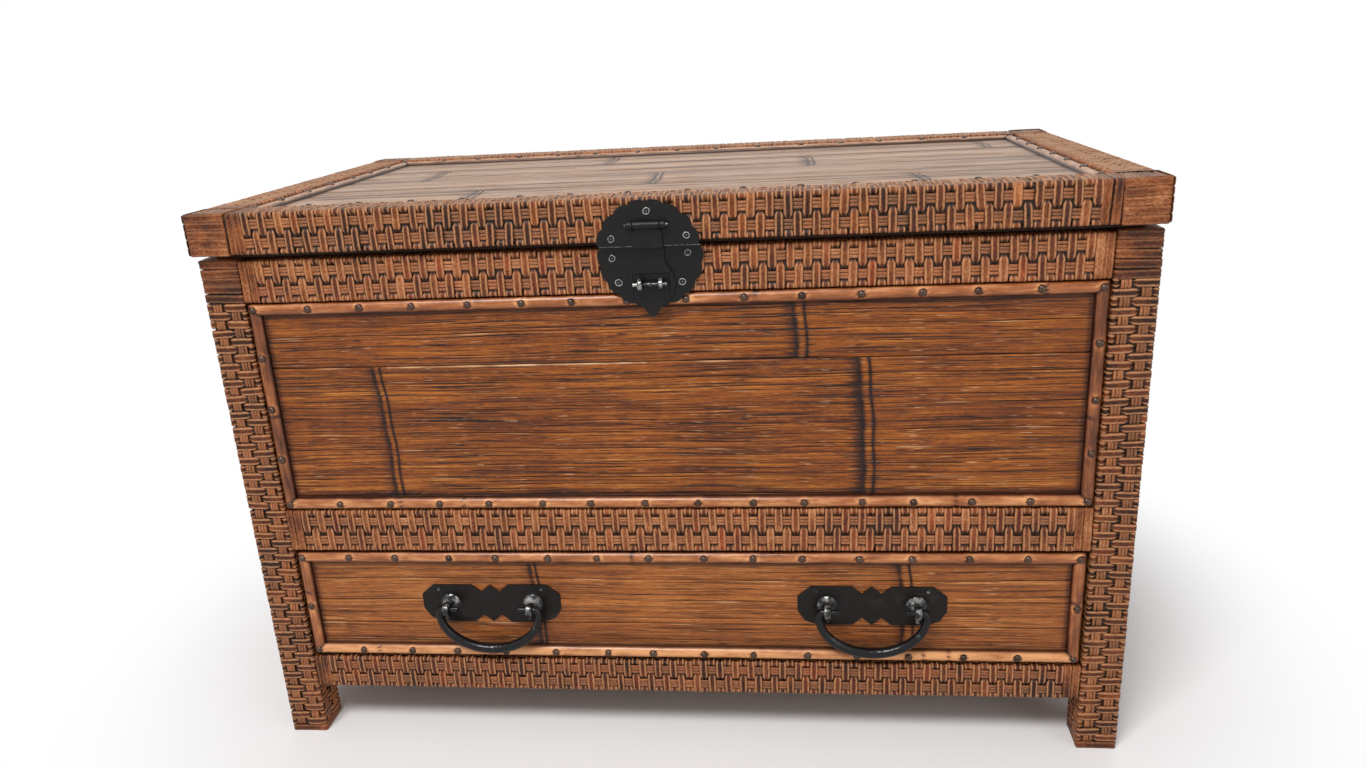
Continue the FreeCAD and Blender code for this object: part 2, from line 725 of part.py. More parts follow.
def make_stay():
    """An arm on the lid whose slot runs on a fixed stud.

    Pivot and stud are equally far from the hinge line, so the arm turns by half the lid's angle.
    """
    pivot = on_stay_circle(stay_stud_angle)
    stud = on_stay_circle(stay_stud_angle + stay_rest_angle)
    along = (stud - pivot).normalize()
    half_rest = math.radians(stay_rest_angle / 2)
    half_open = math.radians((stay_rest_angle + lid_open_angle) / 2)
    near = 2 * stay_radius * math.sin(half_rest)
    far = 2 * stay_radius * math.sin(half_open) + stay_slot_end
    x0, x1 = stay_inner_x, stay_inner_x + stay_thickness
    slot_half = stay_stud_radius + stay_slot_clearance
    arm = stay_blade(pivot, along, far + 4, x0, x1, stay_width / 2)
    slot_start = pivot + along * (near - stay_slot_end)
    slot = stay_blade(slot_start, along, far - near + stay_slot_end, x0 - 1, x1 + 1, slot_half)
    hole = disc(stay_rivet_radius + fit_clearance, x0 - 1, x1 + 1, pivot)
    nodes["stay_arm"] = one_solid(arm.cut(slot).cut(hole))

    head_in = x0 - 0.4 - stay_head_height
    lug_x1 = x0 - 0.4
    lug_x0 = lug_x1 - stay_lug_thickness
    top = lid_bottom - lining_thickness
    half_foot = stay_foot_length / 2
    foot = box_xyz(
        lug_x1 - stay_foot_width,
        lug_x1,
        pivot.y - half_foot,
        pivot.y + half_foot,
        top - stay_lug_thickness,
        top,
    )
    ear = disc(stay_width / 2, lug_x0, lug_x1, pivot)
    web = box_xyz(
        lug_x0, lug_x1, pivot.y - stay_width / 2, pivot.y + stay_width / 2, pivot.z, top
    )
    rivet = disc(stay_rivet_radius, lug_x0, x1 + 0.4, pivot)
    rivet_head = disc(stay_head_radius - 0.8, x1 + 0.4, x1 + 0.4 + stay_head_height, pivot)
    nodes["stay_lid_bracket"] = one_solid(foot.multiFuse([ear, web, rivet, rivet_head]))

    plate_x1 = inner_half_width
    plate_x0 = plate_x1 - stay_plate_thickness
    plate = box_xyz(
        plate_x0, plate_x1, stud.y - half_foot, stud.y + half_foot, panel_head + 6, body_top - 9
    )
    tail = [
        Vector(0, stud.y - half_foot * 0.7, panel_head + 6.5),
        Vector(0, stud.y + half_foot * 0.7, panel_head + 6.5),
        Vector(0, stud.y + stay_width / 2, stud.z),
        Vector(0, stud.y - stay_width / 2, stud.z),
    ]
    tail_shape = prism(tail, AXIS_X * plate_x0, AXIS_X * stay_plate_thickness)
    end = disc(stay_width / 2, plate_x0, plate_x1, stud)
    collar = disc(stay_head_radius, x1 + 0.4, plate_x0, stud)
    pin = disc(stay_stud_radius, head_in, plate_x0, stud)
    head = disc(stay_head_radius, head_in, lug_x1, stud)
    bracket = plate.multiFuse([tail_shape, end, collar, pin, head])
    nodes["stay_body_bracket"] = one_solid(bracket)


make_carcass_frame()
make_panels()
make_chest_floor()
make_lid()
make_drawer()
make_handles()
make_lock()
make_hasp()
make_lock_pin()
make_hinges()
make_stay()

os.makedirs("parts", exist_ok=True)
for name, shape in sorted(nodes.items()):
    for solid in shape.Solids:
        assert solid.isValid() and solid.Volume > 0, name
    shape.exportStep(f"parts/{name}.step")

print(len(nodes), "nodes")
print("hinge axis", round(hinge_axis_y, 3), round(hinge_axis_z, 3))
print("hasp axis", round(body_front - hasp_axis_reach, 3), hasp_axis_height)
print("bail axis", round(drawer_front_y - plate_thickness - eye_reach, 3), handle_height)
print("stay pivot", [round(v, 3) for v in on_stay_circle(stay_stud_angle)])
print("stay stud", [round(v, 3) for v in on_stay_circle(stay_stud_angle + stay_rest_angle)])
print("body front", round(body_front, 3), "back", round(body_back, 3))
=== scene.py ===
import math
import bpy
import numpy as np
from mathutils import Matrix, Vector


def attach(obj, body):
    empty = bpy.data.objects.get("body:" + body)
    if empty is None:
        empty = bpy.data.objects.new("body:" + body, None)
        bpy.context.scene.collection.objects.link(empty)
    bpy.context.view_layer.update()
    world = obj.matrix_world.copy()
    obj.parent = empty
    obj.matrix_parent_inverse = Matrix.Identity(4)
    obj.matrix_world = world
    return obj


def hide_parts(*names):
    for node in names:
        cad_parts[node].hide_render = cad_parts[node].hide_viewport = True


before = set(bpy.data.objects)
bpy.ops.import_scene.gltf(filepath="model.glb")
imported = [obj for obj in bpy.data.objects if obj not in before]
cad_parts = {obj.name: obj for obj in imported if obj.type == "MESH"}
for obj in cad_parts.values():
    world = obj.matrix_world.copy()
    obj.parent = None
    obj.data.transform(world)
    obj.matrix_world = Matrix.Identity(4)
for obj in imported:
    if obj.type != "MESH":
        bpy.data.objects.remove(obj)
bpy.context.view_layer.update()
rng = np.random.default_rng(417)
mm = 0.001

# Chest sizes in millimetres, the same as in the CAD frame
chest = {
    "halfWidth": 380.0, "inner": 345.0, "bar": 35.0,
    "front": -204.55, "back": 213.45, "lidFront": -212.55,
    "bodyTop": 457.0, "lidBottom": 462.0, "lidTop": 497.0,
    "panelHead": 420.0, "panelSill": 232.0, "drawerHead": 192.0, "drawerSill": 83.0, "footTop": 50.0,
    "recess": 6.0, "board": 9.0,
    "drawerHalf": 343.5, "drawerLow": 84.5, "drawerTall": 106.0, "drawerBoard": 12.0,
    "lockSplit": 458.2,
}


# Small helpers for materials

def tint(red, green, blue, alpha=1.0):
    # screen colour 0-255 to linear
    def one(c):
        c = c / 255
        return c / 12.92 if c <= 0.04045 else ((c + 0.055) / 1.055) ** 2.4
    return (one(red), one(green), one(blue), alpha)


white = (1, 1, 1, 1)


def addNode(tree, kind, inputs=None, **settings):
    made = tree.nodes.new(kind)
    for key, value in settings.items():
        setattr(made, key, value)
    for key, value in (inputs or {}).items():
        made.inputs[key].default_value = value
    return made


def feed(tree, made, values):
    # numbers go on the sockets, outputs of other nodes are linked
    for slot, value in values.items():
        if isinstance(value, (int, float, tuple)):
            made.inputs[slot].default_value = value
        else:
            tree.links.new(value, made.inputs[slot])
    return made


def startMaterial(name, **sockets):
    material = bpy.data.materials.new(name)
    material.use_nodes = True
    tree = material.node_tree
    return material, tree, feed(tree, tree.nodes["Principled BSDF"], sockets)


def ramp(tree, source, stops):
    made = addNode(tree, "ShaderNodeValToRGB")
    points = made.color_ramp.elements
    while len(points) < len(stops):
        points.new(0.5)
    for point, (place, colour) in zip(points, stops):
        point.position = place
        point.color = colour if isinstance(colour, tuple) else (colour, colour, colour, 1)
    tree.links.new(source, made.inputs["Fac"])
    return made.outputs["Color"]


def maths(tree, kind, a, b=0.5):
    return feed(tree, addNode(tree, "ShaderNodeMath", operation=kind), {0: a, 1: b}).outputs[0]


def times(tree, a, b):
    return maths(tree, "MULTIPLY", a, b)


def plus(tree, a, b):
    return maths(tree, "ADD", a, b)


def sway(tree, value, source, amount):
    # value, moved up and down by a noise that lies round 0.5
    return plus(tree, value, times(tree, maths(tree, "SUBTRACT", source, 0.5), amount))


def mix(tree, fac, a, b, blend="MIX"):
    made = addNode(tree, "ShaderNodeMix", data_type="RGBA", blend_type=blend)
    return feed(tree, made, {0: fac, 6: a, 7: b}).outputs[2]


def darken(tree, colour, shade):
    return mix(tree, 1.0, colour, shade, "MULTIPLY")


def noise(tree, vector, scale, detail=3.0, roughness=0.5, stretch=(1, 1, 1)):
    mapping = feed(tree, addNode(tree, "ShaderNodeMapping"), {"Vector": vector, "Scale": stretch})
    made = addNode(tree, "ShaderNodeTexNoise", {"Scale": scale, "Detail": detail, "Roughness": roughness})
    tree.links.new(mapping.outputs[0], made.inputs["Vector"])
    return made.outputs["Fac"]


def finishSurface(tree, surface, colour, rough, relief):
    # rough: source, middle and swing; relief: height, strength and distance of the bumps
    source, middle, swing = rough
    height, strength, distance = relief
    made = addNode(tree, "ShaderNodeBump", {"Strength": strength, "Distance": distance})
    tree.links.new(height, made.inputs["Height"])
    feed(tree, surface, {"Base Color": colour, "Roughness": sway(tree, middle, source, swing),
                         "Normal": made.outputs[0]})


def paintParts(tree):
    # the four painted values of a mesh: tone, second, third, hue
    strand = addNode(tree, "ShaderNodeAttribute", attribute_name="paint")
    parts = addNode(tree, "ShaderNodeSeparateColor")
    tree.links.new(strand.outputs["Color"], parts.inputs[0])
    return parts.outputs[0], parts.outputs[1], parts.outputs[2], strand.outputs["Alpha"]


def objectPlace(tree):
    return addNode(tree, "ShaderNodeTexCoord").outputs["Object"]


def fibreNoises(tree, look):
    # the noises of a look, by name; they follow the fibres of each strip
    place = addNode(tree, "ShaderNodeAttribute", attribute_name="fibre").outputs["Vector"]
    return {name: noise(tree, place, 1.0, *settings) for name, settings in look["noises"].items()}


def fibreColour(tree, look, noises, tone, light=None):
    # a strip's own tone with noises laid over it, turned into the four colours of its look
    share, base = look["toneRange"]
    value = plus(tree, times(tree, tone, share), base)
    for name, amount in look["swings"].items():
        value = sway(tree, value, noises[name], amount * look["swing"])
    if light:
        value = plus(tree, value, times(tree, light, look["light"]))
    colours = (look["dark"], look["brown"], look["amber"], look["pale"])
    return ramp(tree, value, list(zip(look["stops"], colours)))


# Small helpers for meshes

def layers(*values):
    # values side by side along a new last axis
    return np.stack(np.broadcast_arrays(*values), -1)


def bell(x, width, power=2):
    # 1 at zero, falling away over a width
    return np.exp(-(x / width) ** power)


def vectors(*rows):
    return (np.array(row, float) for row in rows)


def meshPiece(name, points, quads, body, material, swaps=(), fibre=None, paint=None):
    # a mesh from arrays of points in mm and quads, riding on a body
    mesh = bpy.data.meshes.new(name)
    points = np.asarray(points, np.float64).reshape(-1, 3) * mm
    quads = np.asarray(quads, np.int32).reshape(-1, 4)
    mesh.vertices.add(len(points))
    mesh.vertices.foreach_set("co", points.ravel())
    mesh.loops.add(quads.size)
    mesh.loops.foreach_set("vertex_index", quads.ravel())
    mesh.polygons.add(len(quads))
    mesh.polygons.foreach_set("loop_start", np.arange(len(quads), dtype=np.int32) * 4)
    mesh.update(calc_edges=True)
    mesh.validate()
    mesh.polygons.foreach_set("use_smooth", np.full(len(mesh.polygons), True))
    for layerName, kind, field, values in (("fibre", "FLOAT_VECTOR", "vector", fibre),
                                           ("paint", "FLOAT_COLOR", "color", paint)):
        if values is not None:
            layer = mesh.attributes.new(layerName, kind, "POINT")
            layer.data.foreach_set(field, np.asarray(values, np.float32).ravel())
    mesh.materials.append(material)
    piece = bpy.data.objects.new(name, mesh)
    bpy.context.scene.collection.objects.link(piece)
    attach(piece, body)
    if swaps:
        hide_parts(*swaps)
    return piece


def gridQuads(rows, columns, closeRows=False):
    # quads of a grid of points counted row by row
    r = np.arange(rows if closeRows else rows - 1)[:, None]
    here = r * columns + np.arange(columns - 1)
    there = (r + 1) % rows * columns + np.arange(columns - 1)
    return np.stack([here, there, there + 1, here + 1], -1).reshape(-1, 4)


def facing(quads, first, second, outward):
    # quads turned over where the two ways of their grid would make them face inwards
    return quads[:, ::-1] if np.dot(np.cross(first, second), outward) < 0 else quads


class Bundle:
    # gathers several grids into one mesh
    def __init__(self):
        self.parts, self.count = [], 0

    def add(self, points, quads, fibre, paint):
        points = points.reshape(-1, 3)
        self.parts.append((points, quads + self.count, fibre.reshape(-1, 3), paint.reshape(-1, 4)))
        self.count += len(points)

    def piece(self, name, body, material, swaps=(), slot=None):
        points, quads, fibre, paint = (np.concatenate(arrays) for arrays in zip(*self.parts))
        return meshPiece(name, points, quads, body, material, swaps, fibre, paint)


# Materials

# noises: detail, roughness, scale along and across the fibres; swings: how much each changes the tone
caneLook = {
    "dark": tint(32, 14, 7), "brown": tint(88, 42, 19), "amber": tint(138, 77, 39),
    "pale": tint(194, 136, 94), "stops": (0.06, 0.34, 0.62, 0.95), "toneRange": (0.66, 0.18),
    "noises": {"streak": (4, 0.6, (0.08, 1.2, 1)), "spots": (3, 0.65, (0.42, 0.75, 1)),
               "ridges": (2, 0.5, (0.05, 2.6, 1))},
    "swings": {"streak": 0.35, "spots": 0.9, "blotch": 1.1, "ridges": 0.3}, "swing": 1.0,
    "blotchScale": 30.0, "roughness": 0.5, "edgeWearAndHighlight": 1.9,
    "coat": {"Coat Weight": 0.06, "Coat Roughness": 0.25, "Specular IOR Level": 0.22},
    "hues": [(0.0, tint(255, 206, 184)), (0.25, white), (0.5, white), (0.68, tint(255, 236, 196)),
             (0.85, tint(206, 208, 190)), (0.97, tint(206, 234, 255))],   # rosy, plain, golden, olive, and a painted pale sheen for the lid's top
    "hollowStainAndShade": [(0.0, 0.01), (0.34, 0.12), (0.56, 0.66), (0.72, 1.0)],     # stain and painted shade by depth in the weave
}


def caneMaterial(name, look):
    # ridged cane: tone and hue per strand, fibres along it, stain and painted shade in the hollows, pale
    # edges that are worn and partly a painted highlight
    material, tree, surface = startMaterial(name, **look["coat"])
    tone, depth, edge, hue = paintParts(tree)
    noises = fibreNoises(tree, look)
    noises["blotch"] = noise(tree, objectPlace(tree), look["blotchScale"], 4, 0.6)
    colour = fibreColour(tree, look, noises, tone)
    colour = darken(tree, colour, ramp(tree, hue, look["hues"]))
    # pale edges of the strands: wear, and a painted highlight on their rims
    worn = times(tree, edge, times(tree, noises["spots"], look["edgeWearAndHighlight"]))
    colour = mix(tree, worn, colour, look["pale"])
    # stain and painted shade in the hollows, by depth
    colour = darken(tree, colour, ramp(tree, depth, look["hollowStainAndShade"]))
    height = sway(tree, noises["ridges"], noises["spots"], 0.6)
    finishSurface(tree, surface, colour, (noises["blotch"], look["roughness"], 0.3), (height, 0.5, 0.0005))
    return material


bambooLook = {
    "dark": tint(36, 14, 4), "brown": tint(110, 52, 12), "amber": tint(160, 88, 24),
    "pale": tint(208, 142, 66), "scratchAndHighlight": tint(232, 186, 140),
    "stops": (0.08, 0.36, 0.62, 0.95), "toneRange": (0.5, 0.25), "light": 0.5,
    "noises": {"fine": (5, 0.62, (0.012, 0.9, 1)), "wide": (3, 0.55, (0.006, 0.16, 1)),
               "patch": (4, 0.6, (0.011, 0.035, 1)), "specks": (2, 0.7, (0.12, 0.8, 1)),
               "hair": (2, 0.5, (0.009, 0.8, 1)), "dash": (2, 0.55, (0.04, 0.85, 1)),
               "paleDash": (2, 0.55, (0.045, 1.0, 1))},
    "swings": {"fine": 0.8, "wide": 0.35, "patch": 0.6, "specks": 0.4}, "swing": 1.2,
    "marks": {"hair": (0.565, 0.605), "dash": (0.615, 0.655), "paleDash": (0.65, 0.70)},   # where they start
    "hairlines": 1.0, "dashes": 0.9, "roughness": 0.36,
    # dark by the stain channel: stain, and painted shade beside the edging
    "dirtAndShade": [(0.0, 1.0), (0.5, tint(160, 146, 138)), (1.0, tint(66, 56, 50))],
    "coat": {"Specular IOR Level": 0.26, "Coat Weight": 0.08, "Coat Roughness": 0.2},
}
drawerLook = dict(bambooLook, brown=tint(120, 62, 22), amber=tint(166, 96, 40), pale=tint(214, 152, 88),
                  hairlines=0.65, dashes=0.7, swing=1.0)
# the lid board is a paler, greyer copy of the bamboo look: a painted sheen of the lid's top
lidSheenBoardLook = dict(bambooLook, dark=tint(84, 56, 40), brown=tint(148, 112, 84), amber=tint(180, 142, 112),
                    pale=tint(202, 168, 136), scratchAndHighlight=tint(214, 186, 158), roughness=0.40, hairlines=0.75,
                    dashes=0.3, swing=0.8,   # broader hairlines: the lid is seen at a low angle
                    noises=dict(bambooLook["noises"], hair=(2, 0.5, (0.004, 0.2, 1))))


def bambooMaterial(name, look):
    # flattened bamboo: long fibres, short sharp dashes, dark splits and rings, patches of stain
    material, tree, surface = startMaterial(name, **look["coat"])
    tone, stain, light, plain = paintParts(tree)
    noises = fibreNoises(tree, look)
    colour = fibreColour(tree, look, noises, tone, light)
    hair, dash, paleDash = (ramp(tree, noises[name], [(start, 0.0), (full, 1.0)])
                            for name, (start, full) in look["marks"].items())
    for mark, share in ((hair, look["hairlines"]), (dash, look["dashes"])):
        colour = mix(tree, times(tree, mark, share), colour, look["dark"])
    worn = maths(tree, "SUBTRACT", 1.0, plain)   # pale lips of the splits: a painted highlight on worn lacquer
    rubbedAndHighlit = maths(tree, "MAXIMUM", times(tree, paleDash, look["dashes"] * 0.6), worn)
    # pale dashes, and the painted highlight on the lips
    colour = mix(tree, rubbedAndHighlit, colour, look["scratchAndHighlight"])
    colour = darken(tree, colour, ramp(tree, stain, look["dirtAndShade"]))
    height = maths(tree, "SUBTRACT", noises["fine"], times(tree, plus(tree, hair, dash), 0.4))
    finishSurface(tree, surface, colour, (noises["patch"], look["roughness"], 0.3), (height, 0.6, 0.0006))
    return material


trimLook = {
    "dark": tint(44, 20, 8), "brown": tint(104, 52, 22), "amber": tint(164, 96, 50),
    "pale": tint(222, 158, 104), "stops": (0.12, 0.34, 0.62, 0.92), "toneRange": (0.6, 0.2), "light": 0.4,
    "noises": {"fine": (4, 0.6, (0.03, 1.2, 1)), "patch": (4, 0.62, (0.028, 0.10, 1))},
    "swings": {"fine": 0.55, "patch": 1.1}, "swing": 1.0, "roughness": 0.30,
    # dark by the stain channel: stain, and painted shade on the edging's lower part and rims
    "dirtAndShade": [(0.0, 1.0), (0.5, tint(160, 140, 132)), (1.0, tint(52, 42, 36))],
    "coat": {"Coat Weight": 0.16, "Coat Roughness": 0.15, "Specular IOR Level": 0.35},
}
# the lid's edging: paler and greyer, partly its own colour and partly a painted sheen of the lid's top
lidSheenTrimLook = dict(trimLook, roughness=0.42, coat={"Coat Weight": 0.1, "Specular IOR Level": 0.3},
                   brown=tint(104, 70, 48), amber=tint(160, 118, 88), pale=tint(206, 168, 138))


def trimMaterial(name, look):
    # half-round cane edging, lacquered, darker where the stain ran, with painted shade on its lower part and
    # along its rims
    material, tree, surface = startMaterial(name, **look["coat"])
    tone, stain, light, _ = paintParts(tree)
    noises = fibreNoises(tree, look)
    colour = fibreColour(tree, look, noises, tone, light)
    colour = darken(tree, colour, ramp(tree, stain, look["dirtAndShade"]))
    finishSurface(tree, surface, colour, (noises["patch"], look["roughness"], 0.25),
                  (noises["fine"], 0.3, 0.0004))
    return material


def woodMaterial(name, dark, light, roughness, stretch):
    # plain wood, its grain along one axis
    material, tree, surface = startMaterial(name)
    place = objectPlace(tree)
    fine = noise(tree, place, 60, 5, 0.6, stretch)
    broad = noise(tree, place, 9, 3, 0.5, stretch)
    value = plus(tree, times(tree, fine, 0.6), times(tree, broad, 0.4))
    colour = ramp(tree, value, [(0.32, dark), (0.68, light)])
    finishSurface(tree, surface, colour, (fine, roughness, 0.2), (fine, 0.3, 0.0004))
    return material


ironLook = {
    # edge: a pale line along the lid's split, a worn edge and a painted highlight
    "base": tint(16, 16, 16), "worn": tint(46, 45, 45), "rust": tint(22, 18, 17), "edge": tint(150, 150, 146),
    "roughness": 0.42, "hammer": 1.0, "patch": 42, "wear": (0.62, 0.84),   # scale and reach of worn spots
}
ironGrain = {"dents": 170, "fine": 900, "spots": 300}
handlePlateLook = dict(ironLook, base=tint(19, 14, 11), worn=tint(50, 44, 40))
# forged parts: bright worn spots, partly wear and partly a painted highlight on staples, pins and eyes
forgedLook = {
    "base": tint(42, 42, 43), "worn": tint(176, 175, 171), "rust": tint(26, 23, 22),
    "roughness": 0.18, "hammer": 1.3, "patch": 150, "wear": (0.50, 0.72),
}
bailLook = dict(forgedLook, base=tint(24, 24, 26), worn=tint(120, 119, 118), patch=42, wear=(0.62, 0.84))
# ringedLook paints a highlight ring on black nail heads
ringedLook = dict(forgedLook, base=tint(14, 14, 14), rubbedAndHighlit=tint(176, 176, 172), roughness=0.3)
nailLook = {
    "base": tint(80, 60, 48), "worn": tint(160, 138, 120), "rust": tint(52, 34, 24),
    "roughness": 0.20, "hammer": 0.3, "patch": 42, "wear": (0.62, 0.84),
}
screwLook = dict(nailLook, base=tint(92, 88, 82), worn=tint(140, 136, 128))


def ironMaterial(name, look, level=None):
    # blackened iron, faintly hammered, rubbed brighter in places, with a pale line at some level that is a
    # worn edge and a painted highlight
    material, tree, surface = startMaterial(name, Metallic=0.55)
    place = objectPlace(tree)
    dents = noise(tree, place, ironGrain["dents"], 2, 0.5)
    fine = noise(tree, place, ironGrain["fine"], 3, 0.6)
    spots = ramp(tree, noise(tree, place, ironGrain["spots"], 2, 0.6), [(0.36, 0.25), (0.52, 1.0)])
    patch = noise(tree, place, look["patch"], 4, 0.6)
    wearStart, wearFull = look["wear"]
    colour = ramp(tree, patch, [(0.36, look["rust"]), (0.46, look["base"]), (wearStart, look["base"]),
                                (wearFull, look["worn"])])
    if "rubbedAndHighlit" in look:   # painted highlight rings on a nail head
        colour = mix(tree, times(tree, paintParts(tree)[0], spots), look["base"], look["rubbedAndHighlit"])
    # a pale line at this level: a worn edge and a painted highlight
    if level:
        apart = addNode(tree, "ShaderNodeSeparateXYZ")
        tree.links.new(place, apart.inputs[0])
        away = maths(tree, "ABSOLUTE", maths(tree, "SUBTRACT", apart.outputs[2], level * mm))
        line = ramp(tree, times(tree, away, 1 / mm), [(0.35, 1.0), (0.75, 0.0)])
        colour = mix(tree, times(tree, line, spots), colour, look["edge"])
    height = plus(tree, times(tree, dents, look["hammer"]), times(tree, fine, 0.12))
    finishSurface(tree, surface, colour, (fine, look["roughness"], 0.24), (height, 0.35, 0.0012))
    return material


zincLook = {"dull": tint(112, 108, 100), "bright": tint(160, 157, 152), "roughness": 0.41}


def zincMaterial(name, look):
    material, tree, surface = startMaterial(name, Metallic=0.9)
    place = objectPlace(tree)
    fine = noise(tree, place, 420, 4, 0.6, (1, 1, 5))
    patch = noise(tree, place, 60, 3, 0.6)
    colour = ramp(tree, patch, [(0.3, look["dull"]), (0.7, look["bright"])])
    finishSurface(tree, surface, colour, (fine, look["roughness"], 0.3), (fine, 0.15, 0.0003))
    return material


cane = caneMaterial("wovenCane", caneLook)
bamboo = bambooMaterial("splitBamboo", bambooLook)
drawerBamboo = bambooMaterial("drawerBamboo", drawerLook)
lidBambooSheen = bambooMaterial("lidBambooSheen", lidSheenBoardLook)
trimCane = trimMaterial("caneEdging", trimLook)
lidTrimCane = trimMaterial("lidEdging", lidSheenTrimLook)
boxTints = (tint(104, 72, 46), tint(158, 116, 78))
coreWood = woodMaterial("darkCore", tint(26, 15, 10), tint(50, 30, 18), 0.6, (1, 1, 1))
woodAlongX = woodMaterial("boxWoodX", *boxTints, 0.55, (0.08, 1, 1))
woodAlongY = woodMaterial("boxWoodY", *boxTints, 0.55, (1, 0.08, 1))
liningWood = woodMaterial("liningWood", tint(46, 28, 18), tint(84, 54, 34), 0.6, (0.08, 1, 1))
nailIron = ironMaterial("nailIron", nailLook)
screwSteel = ironMaterial("screwSteel", screwLook)
iron = ironMaterial("blackIron", ironLook)
handlePlateIron = ironMaterial("handlePlateIron", handlePlateLook)
plateIron = ironMaterial("plateIron", ironLook, chest["lockSplit"])
ringedIron = ironMaterial("ringedIron", ringedLook)
forgedIron = ironMaterial("forgedIron", forgedLook)
bailIron = ironMaterial("bailIron", bailLook)
zinc = zincMaterial("zincSteel", zincLook)
print("materials made")


# Woven frame bars

weave = {
    "pitch": 6.95,          # one strand to the next
    "reach": 2.9,           # depth of the weave below the bar's outer surface
    "drift": (0.18, 0.2, 0.04),  # along the bar: each strand's own place, its sway, and its wobbles
    "askew": (0.02, 0.009),      # strands lean in company, and each a little on its own
    "uneven": 0.09,         # spread of their heights
    "crown": 0.24, "rim": 0.14, "groove": (-0.1, 0.5),   # section of a strand
    "toneSpread": 0.10, "patchTone": 0.12, "patchLength": 9.0,   # from strand to strand, and along one
    "middle": 1.45,         # height of a strand between two warps
    "swing": 1.05,          # how far it rises over a warp and dips under the next
    "wideness": 0.97,       # strand width as a share of the pitch
    "taper": 0.34,          # how far a strand narrows where it dips under
    "tip": 0.32,            # how far past the middle of a side it stays on top
    "skirt": 1.3,           # how far a strand's outermost rows go down
    "warpPlace": 0.52,      # warps at this share of the half width
    "strips": (-2.55, 0.0, 2.55),  # each warp is three strips, this far from its middle
    "stripHalf": 1.28,
    "warpRise": 1.55,       # middle height of a warp
    "warpSwing": 0.66, "warpHidden": 0.4, "warpTone": 0.12, "stripTone": 0.08, "stripWander": 0.2,
    "cornerRound": 0.4,
    "cornerLift": 0.8,      # a strand lies higher where it turns a corner
    "cornerSharp": 0.42,    # and higher still in the turn, which keeps the corner crisp
    "flatLift": 0.6,        # height of the plain strands on inner sides
    "plainHeight": 2.15,    # strands wound without a warp
    "roof": 2.88,           # no strand stands higher than this
    "overlook": 0.4,        # this far below the weave the stain and painted shade are full
    "sheenTone": 0.36,           # how much paler the lid's top is painted: a painted sheen
    "gapShade": 0.55,       # shade of sides that face a dark gap
    "edge": 0.05,           # strands end this far from the end of a bar
}
fineSteps = np.array([0.04, 0.11, 0.19, 0.28, 0.40, 0.58, 0.76, 0.87, 0.95])
fineSteps = np.concatenate([-fineSteps[::-1], fineSteps])
coarseSteps = np.array([-0.9, -0.58, 0.0, 0.58, 0.9])
cornerAngles = (0.0, 30.0, 60.0, 90.0)
crossPlaces = np.array([-1.0, -1.0, -0.88, -0.66, -0.34, 0.0, 0.34, 0.66, 0.88, 1.0, 1.0])   # across a strand
outermost = np.array([1.0] + [0.0] * 9 + [1.0])
# rims of a strand painted pale: wear and a painted highlight
edgesWornAndLit = bell(np.abs(crossPlaces) - 0.72, 0.18)


def barSides(u, v):
    # outward normal, way along the side, distance out and half length of a bar's four sides
    sides = (((1, 0), (0, 1), u, v), ((0, 1), (-1, 0), v, u),
             ((-1, 0), (0, -1), u, v), ((0, -1), (1, 0), v, u))
    return [(*vectors(out, way), far, half) for out, way, far, half in sides]


def ringAround(halfU, halfV, coarse):
    # base points of a strand's way round a bar: place, normal, weave swing, lift, side, tip
    inset, turn, warp = weave["reach"], weave["cornerRound"], weave["warpPlace"]
    rows = []
    for index, (out, way, far, half) in enumerate(barSides(halfU - inset - turn, halfV - inset - turn)):
        for t in (coarseSteps if index in coarse else fineSteps):
            size = abs(t)
            phase = size / (2 * warp) if size < warp else 0.5 + (size - warp) / (2 * (1 - warp))
            lift = weave["cornerLift"] * max(0.0, (size - 0.8) / 0.2)
            swing = -math.copysign(math.sin(math.pi * phase), t)
            tip = weave["tip"] * bell(t, 0.3)
            if index in coarse:   # inner sides have no warps
                swing, tip, lift = 0.0, 0.0, weave["flatLift"]
            rows.append((*(out * (far + turn) + way * t * half), *out, swing, lift, index, tip))
        for angle in cornerAngles:
            a = math.radians(angle)
            normal = out * math.cos(a) + way * math.sin(a)
            lift = weave["cornerLift"] + (weave["cornerSharp"] if 0 < angle < 90 else 0.0)
            rows.append((*(out * far + way * half + normal * turn), *normal, 0.0, lift, -1, 0.0))
    rows = np.array(rows)
    steps = np.linalg.norm(np.diff(rows[:, :2], axis=0, append=rows[:1, :2]), axis=1)
    return rows, np.concatenate([[0], np.cumsum(steps)[:-1]])


def placeOn(axis, along, u, v):
    # points from distance along the bar and two cross distances
    return layers(*{0: (along, u, v), 1: (v, along, u), 2: (u, v, along)}[axis])


